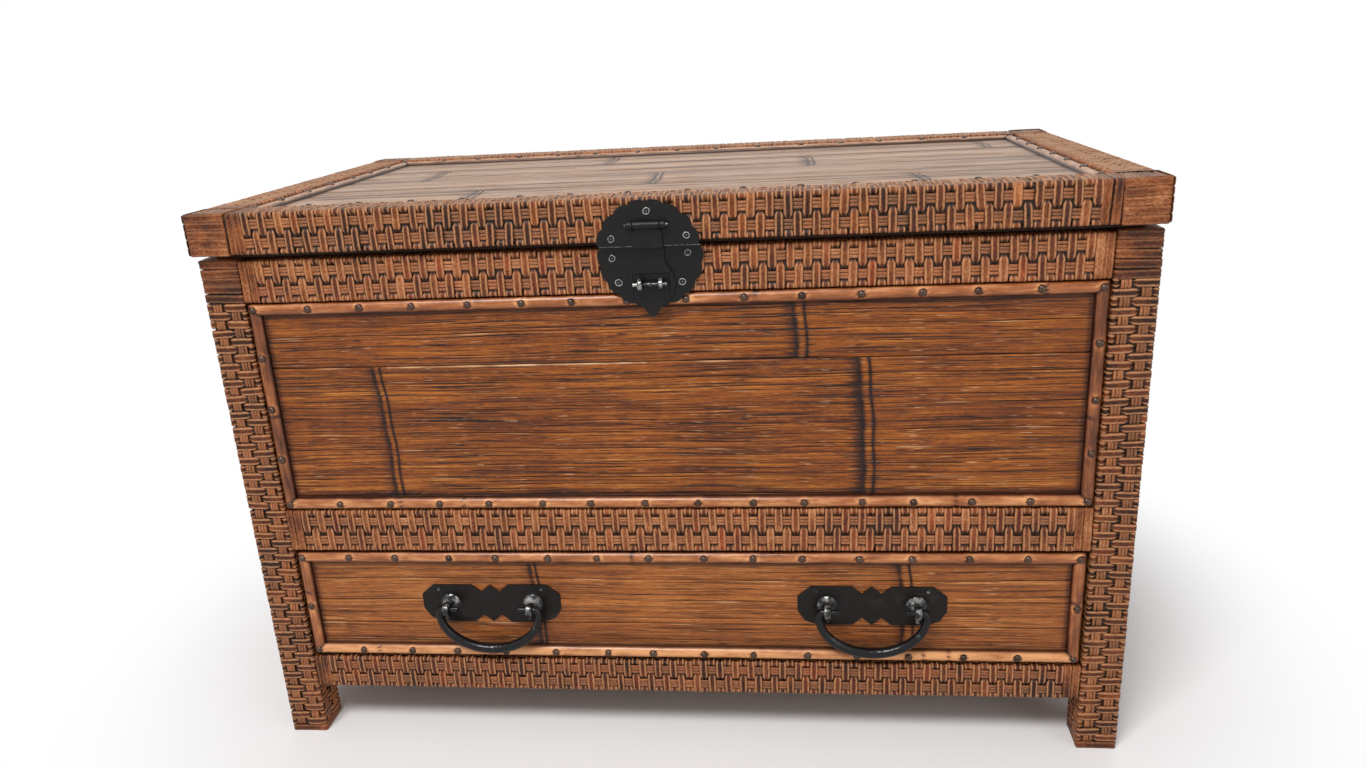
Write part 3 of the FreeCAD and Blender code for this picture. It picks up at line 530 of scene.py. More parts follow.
def wrapBar(name, axis, span, low, high, body, node, coarse=(), plain=(2, 2), plainSpan=None,
            warps=(0, 1, 2, 3), tone=0.5, pitch=weave["pitch"], unruly=1.0, dim=(), hues=(0.0, 0.65),
            warpTone=0.12, warpHues=None, sheenedSides=()):
    # strands wound round one frame bar, over and under two warps on each side
    # coarse: sides that are plain inside; dim: sides with painted shade where they face a dark gap; the third
    # list: sides painted paler and greyer, a painted sheen
    # arrays count strands first, then steps round the bar, then places across a strand
    start, end = span
    count = max(2, round((end - start) / pitch))
    pitch = (end - start) / count
    halfU, halfV = (high[0] - low[0]) / 2, (high[1] - low[1]) / 2
    middle = ((high[0] + low[0]) / 2, (high[1] + low[1]) / 2)
    ring, length = ringAround(halfU, halfV, coarse)
    baseU, baseV, outU, outV, swing, lift, side, tip = ring.T
    index = np.arange(count)[:, None]
    centre = start + (index + 0.5) * pitch
    isPlain = (index < plain[0]) | (index >= count - plain[1])
    if plainSpan:
        isPlain |= (centre > plainSpan[0]) & (centre < plainSpan[1])

    def spread(size, across=1):
        return rng.normal(0, size * unruly, (count, across))

    phase = rng.uniform(0, 2 * math.pi, (count, 1))
    placed, swayed, wobbled = weave["drift"]
    drift = spread(placed) + swayed * unruly * np.sin(length / 21.0 + phase) + spread(wobbled, len(ring))
    together, alone = weave["askew"]
    skew = together * np.sin(index / 6.0 + rng.uniform(0, 6)) + spread(alone)
    drift = drift + unruly * skew * (baseU + baseV)
    wave = swing * np.where(index % 2 == 0, 1.0, -1.0) + tip
    shape = np.where(isPlain, 0.0, np.sign(wave) * np.abs(np.clip(wave, -1, 1)) ** 0.45)
    corner = np.clip(lift / weave["cornerLift"], 0, 1)
    height = weave["middle"] + weave["swing"] * shape + spread(weave["uneven"]) + lift
    height = np.where(isPlain, weave["plainHeight"] + spread(weave["uneven"]) + 0.3 * lift, height)
    narrow = weave["taper"] * np.clip(0.55 - 1.2 * wave, 0, 1) * (tip > 0.01)
    half = pitch / 2 * (weave["wideness"] + 0.03 * shape - narrow) * (1 + spread(0.04) * (1 - corner))
    half = np.where(isPlain, pitch / 2 * 0.96, half)

    # across each strand: a crown, edges that droop, a groove along the middle
    index, centre, isPlainStrand, phase, half, shape, drift, height = (
        values[..., None] for values in (index, centre, isPlain, phase, half, shape, drift, height))
    baseU, baseV, outU, outV, length, side, corner = (
        values[:, None] for values in (baseU, baseV, outU, outV, length, side, corner))
    droop = np.where(isPlainStrand, 0.35, (0.45 + 0.4 * (1 - shape) / 2) * (1 - 0.5 * corner))
    groove = np.clip(rng.uniform(*weave["groove"], (count, 1, 1)), 0.02, 0.5)
    rim = weave["rim"] * bell(np.abs(crossPlaces) - 0.68, 0.2) - groove * bell(crossPlaces - 0.03, 0.26)
    top = height - weave["crown"] * crossPlaces ** 2 - droop * np.abs(crossPlaces) ** 7 + rim
    top = np.minimum(top - weave["skirt"] * outermost, weave["roof"])
    along = np.clip(centre + drift + half * crossPlaces, start + weave["edge"], end - weave["edge"])
    points = placeOn(axis, along, middle[0] + baseU + outU * top, middle[1] + baseV + outV * top)

    # each stretch between two corners of the weave has its own tone, as strands come and go
    patches = weave["patchTone"] * np.sin(length / weave["patchLength"] + 2.1 * phase)
    # the lid's top is painted paler and greyer: a painted sheen
    isSheened = np.isin(side, sheenedSides)
    own = rng.normal(0, weave["toneSpread"] * unruly, (count, 1, 1)) + weave["sheenTone"] * isSheened
    own = np.where(isPlainStrand, 0.1 + 0.4 * own + 1.3 * patches, own + patches)
    # depth: lower parts of a strand get stain and painted shade, and sides that face a dark gap get more
    # painted shade
    depth = np.clip((top + weave["overlook"]) / 3.0, 0, 1)
    depth = depth * np.where(np.isin(side, dim), weave["gapShade"], 1.0)
    depth = np.where(isPlainStrand, 0.16 + 0.84 * depth, depth)
    # pale rims: wear and a painted highlight
    light = edgesWornAndLit * (1 - outermost) * np.where(isPlainStrand, 0.3, 1.0)
    hue = np.where(isPlainStrand, 0.5, rng.uniform(*hues, (count, 1, 1)))
    paint = layers(np.clip(tone + own, 0, 1), depth, light, np.where(isSheened, 1.0, hue))
    fibre = layers(length + 40 * phase, half * crossPlaces + index * 17.3, rng.uniform(0, 50))
    bundle = Bundle()
    quads = gridQuads(*top.shape[1:], closeRows=True) + index * top[0].size
    bundle.add(points, quads.reshape(-1, 4), fibre, paint)
    steps = centre[:, 0] + pitch * blockPlaces
    addWarps(bundle, axis, steps, middle, [barSides(halfU, halfV)[s] + (s in dim, s in sheenedSides) for s in warps],
             np.repeat(isPlain, len(blockPlaces)), tone + warpTone, warpHues or hues)
    bundle.piece(name, body, cane, (node,), "woven_cane")


stripCross = np.array([-1.0, -0.72, 0.72, 1.0])
stripDrop = np.array([0.85, 0.10, 0.10, 0.85])
stripLight = np.array([0.04, 0.32, 0.32, 0.04])
blockPlaces = np.array([-0.5, -0.36, 0.0, 0.36])   # steps along a warp within one pitch
blockShape = np.array([0.0, 0.86, 1.0, 0.86])


def addWarps(bundle, axis, steps, middle, sides, hidden, tone, hues):
    # the bands of three strips that run along a bar between its strands
    count = len(steps)
    swing = (np.where(np.arange(count) % 2 == 0, 1.0, -1.0)[:, None] * blockShape).ravel()
    steps = steps.ravel()
    for out, way, far, half, isDim, isSheened in sides:
        base = far - weave["reach"]
        for place in (-weave["warpPlace"], weave["warpPlace"]):
            # warps on the lid's top are painted paler: a painted sheen
            sheenTone = weave["sheenTone"] if isSheened else 0.0
            blockTone = np.repeat(rng.normal(tone + sheenTone, weave["warpTone"], count), len(blockPlaces))
            blockLift = np.repeat(rng.normal(0, 0.08, count), len(blockPlaces))
            hue = rng.uniform(*hues)
            lift = weave["warpRise"] + math.copysign(weave["warpSwing"], place) * swing + blockLift
            tall = np.where(hidden, weave["warpHidden"], lift)[:, None] - stripDrop
            for strip in weave["strips"]:
                offset = place * (half - weave["reach"]) + strip + stripCross * weave["stripHalf"]
                offset = offset + weave["stripWander"] * np.sin(steps / 37.0 + rng.uniform(0, 6))[:, None]
                points = placeOn(axis, steps[:, None], middle[0] + out[0] * (base + tall) + way[0] * offset,
                                 middle[1] + out[1] * (base + tall) + way[1] * offset)
                # depth: stain and painted shade by height, more painted shade where a side faces a dark gap
                depth = (tall + 0.45) / 3.0 * (weave["gapShade"] if isDim else 1.0)
                paint = layers((blockTone + rng.normal(0, weave["stripTone"]))[:, None], depth, stripLight,
                               1.0 if isSheened else hue)
                fibre = layers(steps[:, None], stripCross * weave["stripHalf"] + rng.uniform(0, 400), 0.0)
                bundle.add(points, gridQuads(len(steps), 4)[:, ::-1], fibre, np.clip(paint, 0, 1))


ends = {"strips": 5, "rise": 0.75, "dome": 0.5, "drop": 1.2, "inset": 1.1, "wander": 0.25,
        "tone": 0.46, "toneSpread": 0.06, "patchTone": 0.12, "hue": 0.5}
endSteps = np.array([-1.0, -0.985, -0.94, -0.5, 0.0, 0.5, 0.94, 0.985, 1.0])
endFall = np.array([ends["drop"], 0.35, 0, 0, 0, 0, 0, 0.35, ends["drop"]])


def coverEnd(bundle, middle, along, across, outward, half):
    # a row of flat cane strips over the end of a bar
    middle, along, across, outward = vectors(middle, along, across, outward)
    half = half - ends["inset"]
    stripHalf = half / ends["strips"]
    way = (endSteps * half)[:, None]
    for index in range(ends["strips"]):
        wander = ends["wander"] * np.sin(way / 9 + rng.uniform(0, 6))
        place = (2 * index + 1 - ends["strips"]) * stripHalf + wander + crossPlaces * stripHalf * 0.97
        top = ends["rise"] - ends["dome"] * np.abs(crossPlaces) ** 5 - endFall[:, None]
        top = top - ends["drop"] * outermost + rng.normal(0, 0.05)
        points = middle + along * way[..., None] + across * place[..., None] + outward * top[..., None]
        tone = ends["tone"] + rng.normal(0, ends["toneSpread"])
        tone = tone + ends["patchTone"] * np.sin(way / 7 + rng.uniform(0, 6))
        # lower parts of an end strip get stain and painted shade
        depth = np.clip(0.75 + 0.25 * (top - ends["rise"]), 0.4, 1)
        paint = layers(tone, depth, 0.3 * edgesWornAndLit, ends["hue"])
        fibre = layers(way + rng.uniform(0, 900), place, 0.0)
        bundle.add(points, facing(gridQuads(*top.shape), along, across, outward), fibre, paint)


def makeEnds():
    # ends of the lid's bars, and of the posts below the lid
    w, half = chest["halfWidth"], chest["bar"] / 2
    level = (chest["lidBottom"] + chest["lidTop"]) / 2
    lidEnds, postEnds = Bundle(), Bundle()
    for side in (-1, 1):
        for y in (chest["lidFront"] + half, chest["back"] - half):
            coverEnd(lidEnds, (side * w, y, level), (0, 1, 0), (0, 0, side), (side, 0, 0), half)
        for y in (chest["front"] + half, chest["back"] - half):
            top = (side * (w - half), y, chest["bodyTop"])
            coverEnd(postEnds, top, (1, 0, 0), (0, 1, 0), (0, 0, 1), half)
    lidEnds.piece("cane_lid_ends", "lid", cane, (), "woven_cane")
    postEnds.piece("cane_post_ends", "carcass", cane, (), "woven_cane")


def makeWeave():
    w, i, bar = chest["halfWidth"], chest["inner"], chest["bar"]
    front, back, lidFront = chest["front"], chest["back"], chest["lidFront"]
    top, head = chest["bodyTop"], chest["panelHead"]
    bothSides = (("left", -w, (1,)), ("right", i, (3,)))   # name, low x, side that faces inwards
    for side, x, _ in bothSides:
        for end, y in (("front", front), ("back", back - bar)):
            wrapBar(f"weave_post_{end}_{side}", 2, (0.0, top), (x, y), (x + bar, y + bar), "carcass",
                    "post_wraps", plain=(1, 0), plainSpan=(head, top), tone=0.12, pitch=7.2, unruly=1.3,
                    hues=(0.3, 0.85), warpTone=0.3, warpHues=(0.0, 0.5))
    levels = {"top": (head, top), "middle": (chest["drawerHead"], chest["panelSill"]),
              "bottom": (chest["footTop"], chest["drawerSill"])}
    for level, (z0, z1) in levels.items():
        wrapBar(f"weave_front_{level}", 0, (-i, i), (front, z0), (front + bar, z1), "carcass",
                "front_rail_wraps", (0,), warps=(1, 2, 3), tone=0.19 if level == "bottom" else 0.45,
                hues=(0.0, 0.6))
    for level in ("top", "bottom"):
        z0, z1 = levels[level]
        wrapBar(f"weave_back_{level}", 0, (-i, i), (back - bar, z0), (back, z1), "carcass", "back_rail_wraps",
                (2,), warps=(0, 1, 3), tone=0.48)
        for side, x, inner in bothSides:
            wrapBar(f"weave_{side}_{level}", 1, (front + bar, back - bar), (z0, x), (z1, x + bar), "carcass",
                    "side_rail_wraps", inner, tone=0.48)
    z0, z1 = chest["lidBottom"], chest["lidTop"]
    wrapBar("weave_lid_front", 0, (-i, i), (lidFront, z0), (lidFront + bar, z1), "lid", "lid_wraps", (0,),
            tone=0.22, unruly=1.7, dim=(3,), hues=(0.25, 0.85), sheenedSides=(1,))
    wrapBar("weave_lid_back", 0, (-i, i), (back - bar, z0), (back, z1), "lid", "lid_wraps", (2,), tone=0.48,
            sheenedSides=(1,))
    for side, x, inner in bothSides:
        wrapBar(f"weave_lid_{side}", 1, (lidFront + bar, back - bar), (z0, x), (z1, x + bar), "lid",
                "lid_wraps", inner, tone=0.46, sheenedSides=(0,))
        for end, y in (("front", lidFront), ("back", back - bar)):
            wrapBar(f"corner_lid_{end}_{side}", 2, (z0, z1), (x, y), (x + bar, y + bar), "lid", "lid_wraps",
                    plain=(9, 9), warps=(), tone=0.36)
            wrapBar(f"corner_top_{end}_{side}", 0, (x + 0.6, x + bar - 0.6), (y + 0.5, z0 + 0.5),
                    (y + bar - 0.5, z1 - 0.1), "lid", "lid_wraps", plain=(9, 9), warps=(), tone=0.42,
                    sheenedSides=(1,))


makeWeave()
makeEnds()
print("weave made")


# Openings and their bamboo boards

def findOpenings():
    # corner, way across, way up, size, outward, body and panel node of each opening
    i, r, bar, w = chest["inner"], chest["recess"], chest["bar"], chest["halfWidth"]
    front, back, lidFront = chest["front"], chest["back"], chest["lidFront"]
    sill, head, low = chest["panelSill"], chest["panelHead"], chest["drawerSill"]
    drawerHalf, drawerTall, tall = chest["drawerHalf"], chest["drawerTall"], head - low
    toRight, toBack, toTop = (1, 0, 0), (0, 1, 0), (0, 0, 1)
    sideSize = (back - front - 2 * bar, tall)
    lidCorner, lidSize = (-i, lidFront + bar, chest["lidTop"] - r), (2 * i, back - lidFront - 2 * bar)
    drawerCorner, drawerSize = (-drawerHalf, front + r, chest["drawerLow"]), (2 * drawerHalf, drawerTall)
    return {
        "front": ((-i, front + r, sill), toRight, toTop, (2 * i, head - sill), (0, -1, 0), "carcass",
                  "front_panel"),
        "back": ((-i, back - r, low), toRight, toTop, (2 * i, tall), toBack, "carcass", "back_panel"),
        "left": ((-w + r, front + bar, low), toBack, toTop, sideSize, (-1, 0, 0), "carcass", "left_panel"),
        "right": ((w - r, front + bar, low), toBack, toTop, sideSize, toRight, "carcass", "right_panel"),
        "lid": (lidCorner, toRight, toBack, lidSize, toTop, "lid", "lid_panel"),
        "drawer": (drawerCorner, toRight, toTop, drawerSize, (0, -1, 0), "drawer", "drawer_front"),
    }


openings = findOpenings()
board = {
    "columnStep": 4.0,       # mesh columns along a board
    "splits": (14.0, 28.0),  # long open splits, this far apart
    "splitHalf": 0.5, "splitDepth": 1.2, "lip": 0.28,
    "cracks": (2.2, 7.0),    # short shallow cracks between them
    "crackHalf": 0.42, "crackDepth": 0.7, "jointDepth": 1.6,
    "roof": 0.45, "crown": 0.25, "wander": (0.9, 0.35),   # wander: slow and quick
    "splitTone": 0.10, "stripTone": 0.09,     # spread from split to split, and from strip to strip
    # lipLight and the pale lip along a joint: painted highlights on the lower lips
    "crackStain": 0.9, "splitStain": 1.2, "lipLight": 0.4, "lipHighlight": 0.85,
    "rimStainAndShade": (0.55, 3.0), "rimHazeAndShade": (0.2, 14.0),      # stain and painted shade beside the edging: how much, and how far from it
}
ringShape = {
    "lean": 4.0, "bow": 2.2, "wave": 0.5,     # how a ring runs across its board
    "swelling": 0.22, "groove": 0.5, "backGroove": 0.35, "grooveHalf": 0.6,
    "stain": (1.2, 0.9), "backStain": (1.3, 1.6, 0.9),    # how much, how wide, and how ragged
    "smudge": (1.2, 8.0, 4.5), "haze": (0.5, 2.4), "light": 0.10,
}
ringSteps = (-25, -22, -19, -16, -13.5, -11, -9, -7.6, -6.6, -5.5, -4.2, -3, -2, -1.2, -0.5,
             0.0, 0.6, 1.2, 2, 3, 4.5)   # mesh columns round a ring
edging = {
    "width": 11.2, "height": 5.8, "lidHeight": 4.2, "step": 3.0, "facets": 15,
    "nailPitch": 46.0, "nailRadius": 3.2, "nailHeight": 2.2, "nailSunk": 0.75,
    "jointStep": 190, "jointEnd": 40, "jointSwell": 0.35, "jointCut": 0.45, "jointStain": 0.8,
    "sideStainAndShade": (0.95, 1.0), "lowShade": 0.42, "mitreStain": 0.7,
    "nailStain": 0.6, "nailGlow": 0.45, "nailDent": 0.2,
}


def splitBoard(low, high, tone, splits, cracks, openness):
    # rows across one board: place, what lies there, strip tone and seed
    majors = [low]
    while majors[-1] < high - splits[0] * 1.3:
        majors.append(majors[-1] + rng.uniform(*splits))
    if len(majors) > 1 and high - majors[-1] < splits[0] * 0.4:
        majors.pop()
    majors.append(high)
    rows = []
    for major, (a, b) in enumerate(zip(majors[:-1], majors[1:])):
        edges = [a]
        while edges[-1] < b - cracks[0] * 1.6:
            edges.append(min(edges[-1] + rng.uniform(*cracks), b - 0.9))
        edges[-1:] = [b] if b - edges[-1] < 1.4 and len(edges) > 1 else [edges[-1], b]
        splitTone = tone + rng.normal(0, board["splitTone"])
        for strip, (lo, hi) in enumerate(zip(edges[:-1], edges[1:])):
            shade, seed, wide = splitTone + rng.normal(0, board["stripTone"]), rng.uniform(0, 1), hi - lo
            first, last = strip == 0, strip == len(edges) - 2
            kind = "joint" if first and major == 0 else "split" if first else "crack"
            lowGap, highGap = (min(openness * board["splitHalf" if isSplit else "crackHalf"], wide * 0.25)
                               for isSplit in (first, last))
            places = ((lo, kind), (lo + lowGap, "edge"), (lo + wide * 0.35, "face"),
                      (lo + wide * 0.65, "face"), (hi - highGap, "lip" if last else "edge"))
            rows += [(place, what, shade, seed) for place, what in places]
    return rows + [(high, "joint", tone, 0.5)]


def boardRings(x, y, low, high, rings):
    # one board's wander across, height, stain and light: a crown, and rings of two dark lines with a swelling
    # between them and smudged stain behind them
    slow, quick = rng.uniform(0, 6.28, 2)
    rise = (y - low) / (high - low)
    inside = np.sqrt(np.clip(np.sin(np.pi * rise), 0, 1))
    slowWander, quickWander = board["wander"]
    wander = slowWander * np.sin(x / 97 + slow + y / 31) + quickWander * np.sin(x / 23 + quick + y / 13)
    height = board["crown"] * inside ** 2 - board["crown"]
    stain, light = np.zeros_like(x), np.zeros_like(x)
    groove, backGroove, grooveHalf = (ringShape[key] for key in ("groove", "backGroove", "grooveHalf"))
    stained, stainHalf = ringShape["stain"]
    backStained, backHalf, ragged = ringShape["backStain"]
    smudged, reach, fingers = ringShape["smudge"]
    hazed, hazeHalf = ringShape["haze"]
    for place, gap, smudge in rings:
        bend = ringShape["lean"] * (rise - 0.5) - ringShape["bow"] * np.sin(np.pi * rise)
        away = x - place + (bend - ringShape["wave"] * np.sin(y / 7.0 + place))
        finger = np.sin(y * 1.9 + place) * np.sin(y * 0.31 + 2 * place)
        broken = 0.75 + 0.25 * np.sin(y / 3.1 + place)
        height += ringShape["swelling"] * bell(away + gap / 2, gap * 0.3)
        height -= groove * bell(away, grooveHalf) + backGroove * broken * bell(away + gap, grooveHalf)
        stain += stained * bell(away, stainHalf)
        stain += backStained * broken * bell(away + gap, backHalf + ragged * finger)
        behind = (away < -gap) * (0.6 + 0.4 * np.abs(finger))
        stain += smudged * smudge * bell(away + gap, reach + fingers * finger, 4) * behind
        stain += hazed * smudge * bell(away, hazeHalf) * (0.4 + 0.6 * np.abs(finger))
        light += ringShape["light"] * bell(away + gap / 2, gap * 0.25)
    return inside * wander, height, stain, light


def bambooPanel(name, boards, material=bamboo, thickness=chest["board"], splits=board["splits"],
                cracks=board["cracks"], openness=1.0, worn=(), seam=0.0):
    # a slab faced with flattened bamboo: boards side by side, split lengthways, with raised rings across them
    # boards: low edge, high edge, rings and tone; a ring: place along, gap of its two lines, smudge
    corner, along, across, (length, width), outward, body, node = openings[name]
    corner, along, across, outward = vectors(corner, along, across, outward)
    places = sorted(ring[0] for low, high, rings, tone in boards for ring in rings)
    columns = set(np.linspace(0, length, int(length / board["columnStep"]) + 1))
    for place in places:
        columns |= {place + step for step in ringSteps}
    rows, owner = [], []
    for index, (low, high, rings, tone) in enumerate(boards):
        made = splitBoard(low, high, tone, splits, cracks, openness)
        rows += made
        owner += [index] * len(made)
    levels, kinds, stripTones, seeds = (np.array(column) for column in zip(*rows))
    owner, seeds = np.array(owner), seeds[:, None]
    x, y = np.meshgrid(sorted(p for p in columns if 0 <= p <= length), levels)
    wander, height, stain, light = (np.zeros_like(x) for _ in range(4))
    for index, (low, high, rings, tone) in enumerate(boards):
        mine = owner == index
        wander[mine], height[mine], stain[mine], light[mine] = boardRings(x[mine], y[mine], low, high, rings)

    # cracks and splits come and go along the board, anew between two rings
    segment = np.searchsorted(places, x)
    waves = np.sin(x / (16 + 30 * seeds) + 40 * seeds + segment) + np.sin(x / (47 + 50 * seeds) + 90 * seeds)
    waves = waves + np.sin(x / 9.7 + 70 * seeds)
    own = np.sin(seeds * 91.7 + segment * 37.1)
    crack = np.clip(0.24 + 0.34 * waves + 0.42 * own, 0.02, 1)
    split = np.clip(0.62 + 0.3 * waves + 0.25 * own, 0.08, 1)
    isCrack, isSplit, isJoint, isLip, isFace = (
        (kinds == kind)[:, None] for kind in ("crack", "split", "joint", "lip", "face"))
    nextSplit = np.roll(split, -1, axis=0)
    height += board["lip"] * nextSplit * isLip + 0.10 * isFace + 0.10 * np.sin(seeds * 61.3) * ~isJoint
    height -= crack * board["crackDepth"] * isCrack + split * board["splitDepth"] * isSplit
    height = np.minimum(height - board["jointDepth"] * isJoint, board["roof"])
    beside = isLip * nextSplit + np.roll(isSplit * split, 1, axis=0)
    beside = beside + np.roll(isJoint, 1) + np.roll(isJoint, -1)
    stain += crack * board["crackStain"] * isCrack
    stain += np.clip(split * board["splitStain"], 0, 1) * isSplit + 1.0 * isJoint
    stain += seam * np.clip(beside, 0, 1)   # stain beside the long splits
    # the lower lips of the splits painted lighter: a painted highlight
    light += board["lipLight"] * np.clip(nextSplit - 0.35, 0, 1) * isLip
    # short pale lines on the lips: painted highlights
    lipHighlightRub = np.clip(1.6 * np.sin(x / 61 + 9 * seeds) * np.sin(x / 17 + 31 * seeds) - 0.85, 0, 0.6) * isLip
    for level, start, end in worn:   # a pale lip along a joint: a painted highlight on worn lacquer
        ragged = 0.65 + 0.35 * np.sin(x / 5.3 + 2 * np.sin(x / 17))
        lipHighlightRub += board["lipHighlight"] * ragged * bell(y - level, 0.7) * (x > start) * (x < end)
    # darker towards the edging: stain, and painted shade under it
    rim = np.clip(np.minimum.reduce([x, length - x, y, width - y]) - edging["width"], 0, None)
    (near, nearReach), (far, farReach) = board["rimStainAndShade"], board["rimHazeAndShade"]
    stain += near * bell(rim, nearReach) + far * np.exp(-rim / farReach) * (0.5 + 0.5 * waves / 3)

    # the sides and back close the slab: back low row, the face's rows, back high row
    base = corner + along * x[..., None]
    face = base + across * np.clip(y + wander, 0, width)[..., None] + outward * height[..., None]
    back = base + across * y[..., None] - outward * thickness
    # the stain channel also carries painted shade beside the edging
    paint = layers(stripTones[:, None], stain, light, 1 - lipHighlightRub)
    paint[..., :3] = np.clip(paint[..., :3], 0, 1)
    fibre = layers(x + owner[:, None] * 531.0, y + seeds * 90, 0.0)
    plain = np.tile([boards[-1][3], 0.3, 0.0, 1.0], (1, x.shape[1], 1))
    points = np.concatenate([back[:1], face, back[-1:]])
    paint = np.concatenate([plain, paint, plain])
    fibre = np.concatenate([fibre[:1], fibre, fibre[-1:]])
    quads = facing(gridQuads(*points.shape[:2], closeRows=True), across, along, outward)
    meshPiece(f"bamboo_{name}", points, quads, body, material, (node,), fibre, paint)


def evenBoards(name, tones, rings):
    # boards of even width with their rings staggered
    edges = np.linspace(0, openings[name][3][1], len(tones) + 1)
    return [(low, high, [(ring, 5.0, 0.4) for ring in places], tone)
            for low, high, places, tone in zip(edges[:-1], edges[1:], rings, tones)]


frontBoards = [(0, 130, [(107, 6.0, 0.45), (512, 8.0, 0.85)], 0.47), (130, 188, [(459, 8.0, 0.6)], 0.5)]
drawerBoards = [(0, chest["drawerTall"], [(219.0, 5.0, 0.3), (544.0, 8.5, 0.3)], 0.66)]
lidBoards = evenBoards("lid", (0.52, 0.45, 0.57, 0.5), ([180, 560], [330], [90, 470], [260, 650]))
bambooPanel("front", frontBoards, worn=((129.4, 112, 330),))
bambooPanel("back", evenBoards("back", (0.5, 0.46, 0.55), ([210, 560], [90, 430], [300, 640])))
bambooPanel("left", evenBoards("left", (0.48, 0.54, 0.5), ([120], [250], [60])))
bambooPanel("right", evenBoards("right", (0.48, 0.54, 0.5), ([230], [90], [290])))
bambooPanel("lid", lidBoards, lidBambooSheen, splits=(26.0, 50.0), cracks=(6, 16), openness=3.4, seam=0.75)
bambooPanel("drawer", drawerBoards, drawerBamboo, chest["drawerBoard"], cracks=(3, 9))
print("panels made")


# Cane edging and nails

def trimRun(bundle, nails, start, end, inward, outward, places, tone, light, height):
    # one half-round length from start to end along an opening's edge, mitred, with nails at places
    way = end - start
    length = np.linalg.norm(way)
    way = way / length
    count, margin = max(1, int(length / edging["jointStep"])), edging["jointEnd"]
    joints = np.sort(rng.uniform(margin, max(60, length - margin), count))
    angle = np.linspace(0, math.pi, edging["facets"])
    across = edging["width"] / 2 * (1 - np.cos(angle))
    share = np.linspace(0, 1, int(length / edging["step"]) + 1)[:, None]
    along = across + share * (length - 2 * across)
    bow = 0.25 * np.sin(along / 61 + rng.uniform(0, 6)) + 0.15 * np.sin(along / 19 + rng.uniform(0, 6))
    swell, stain, glow = np.zeros_like(along), np.zeros_like(along), np.full_like(along, light)
    for joint in joints:
        swell += edging["jointSwell"] * bell(along - joint + 1.8, 1.8)
        swell -= edging["jointCut"] * bell(along - joint, 0.7)
        stain += edging["jointStain"] * bell(along - joint, 0.8)
    for place in places:
        near = np.hypot(along - place, across - edging["width"] / 2)
        stain += edging["nailStain"] * bell(near - 2.8, 0.6, 4)
        glow += edging["nailGlow"] * bell(near - 4.4, 1.2)
        swell -= edging["nailDent"] * bell(near, 3.0)
    # both rims darker: stain, and painted shade of the gap between edging and weave
    sideStained, sideReach = edging["sideStainAndShade"]
    stain += sideStained * bell(np.minimum(across, edging["width"] - across), sideReach)
    # the lower part of a level length is darkened: painted shade
    down = (across if inward[2] < 0 else edging["width"] - across) / edging["width"]
    stain += edging["lowShade"] * abs(inward[2]) * np.clip((down - 0.6) / 0.4, 0, 1)   # painted shade on the lower part of a level length
    mitre = np.clip(np.minimum(along - across, length - across - along), 0, None)
    stain += edging["mitreStain"] * bell(mitre, 0.8)
    rise = np.clip(height * np.sin(angle) * (0.95 + 0.05 * bow) + swell * np.sin(angle), 0, height)
    points = start + way * along[..., None] + inward * across[:, None] + outward * rise[..., None]
    # the stain channel also carries painted shade on the lower part and the rims
    paint = layers(tone, np.clip(stain, 0, 1), np.clip(glow, 0, 1), 1.0)
    seed = rng.uniform(0, 900)
    fibre = layers(along + seed, across * 1.3 + seed, 0.0)
    bundle.add(points, facing(gridQuads(*along.shape), way, inward, outward), fibre, paint)
    middle = start + inward * edging["width"] / 2 + outward * (height - edging["nailSunk"])
    nails += [(middle + way * place, outward) for place in places]


# Sections of a nail head: share of the radius, share of the height, brightness, which the ringed iron paints
# as a highlight ring
domedHead = ((1.0, -0.8, 0), (1.0, 0.12, 0), (0.86, 0.55, 0), (0.58, 0.86, 0), (0.28, 0.97, 0),
             (0.02, 1.0, 0))
ringedHead = ((1.0, -0.3, 0.0), (0.99, 0.7, 0.5), (0.84, 1.0, 1.0), (0.66, 0.5, 0.0), (0.36, 0.62, 0.0),
              (0.02, 0.8, 0.3))
screwHead = ((1.0, -0.4, 0), (1.0, 0.5, 0), (0.86, 0.9, 0), (0.45, 0.9, 0), (0.38, 0.2, 0), (0.02, 0.1, 0))
heads = {"sides": 14, "oval": 0.05, "uneven": 0.04, "sizes": (0.92, 1.08), "lean": 0.036}


def nailHeads(name, spots, body, radius, height, material, section=domedHead):
    # hand-made round heads, each a little uneven; spots: place and outward way
    sides = heads["sides"]
    turns = np.linspace(0, 2 * math.pi, sides + 1)[:-1, None]
    share, rise, bright = np.array(section).T
    points = []
    for spot, out in spots:
        side = np.cross(out, [0.3, 0.5, 0.81])
        side /= np.linalg.norm(side)
        up = np.cross(out, side)
        wobble = 1 + heads["oval"] * np.sin(2 * turns + rng.uniform(0, 6))
        wobble = wobble + heads["uneven"] * rng.normal(0, 1, (sides, 1))
        size = radius * rng.uniform(*heads["sizes"]) * share * wobble
        tilt = rng.normal(0, heads["lean"], 2)
        x, y = size * np.cos(turns), size * np.sin(turns)
        z = height * rise + tilt[0] * x + tilt[1] * y
        points.append(spot + side * x[..., None] + up * y[..., None] + out * z[..., None])
    quads = gridQuads(sides, len(section), closeRows=True)
    quads = quads + np.arange(len(spots))[:, None, None] * sides * len(section)
    paint = np.tile(layers(bright, 0.0, 0.0, 1.0), (len(spots) * sides, 1))
    meshPiece(name, points, quads, body, material, (), paint=paint)


def nailRow(length, first, pitch, jitter=3.0):
    # places of nails along a trim, corner nails included
    count = max(1, round((length - 2 * first) / pitch))
    places = np.linspace(first, length - first, count + 1)
    places[1:-1] += rng.uniform(-jitter, jitter, count - 1)
    return list(places)


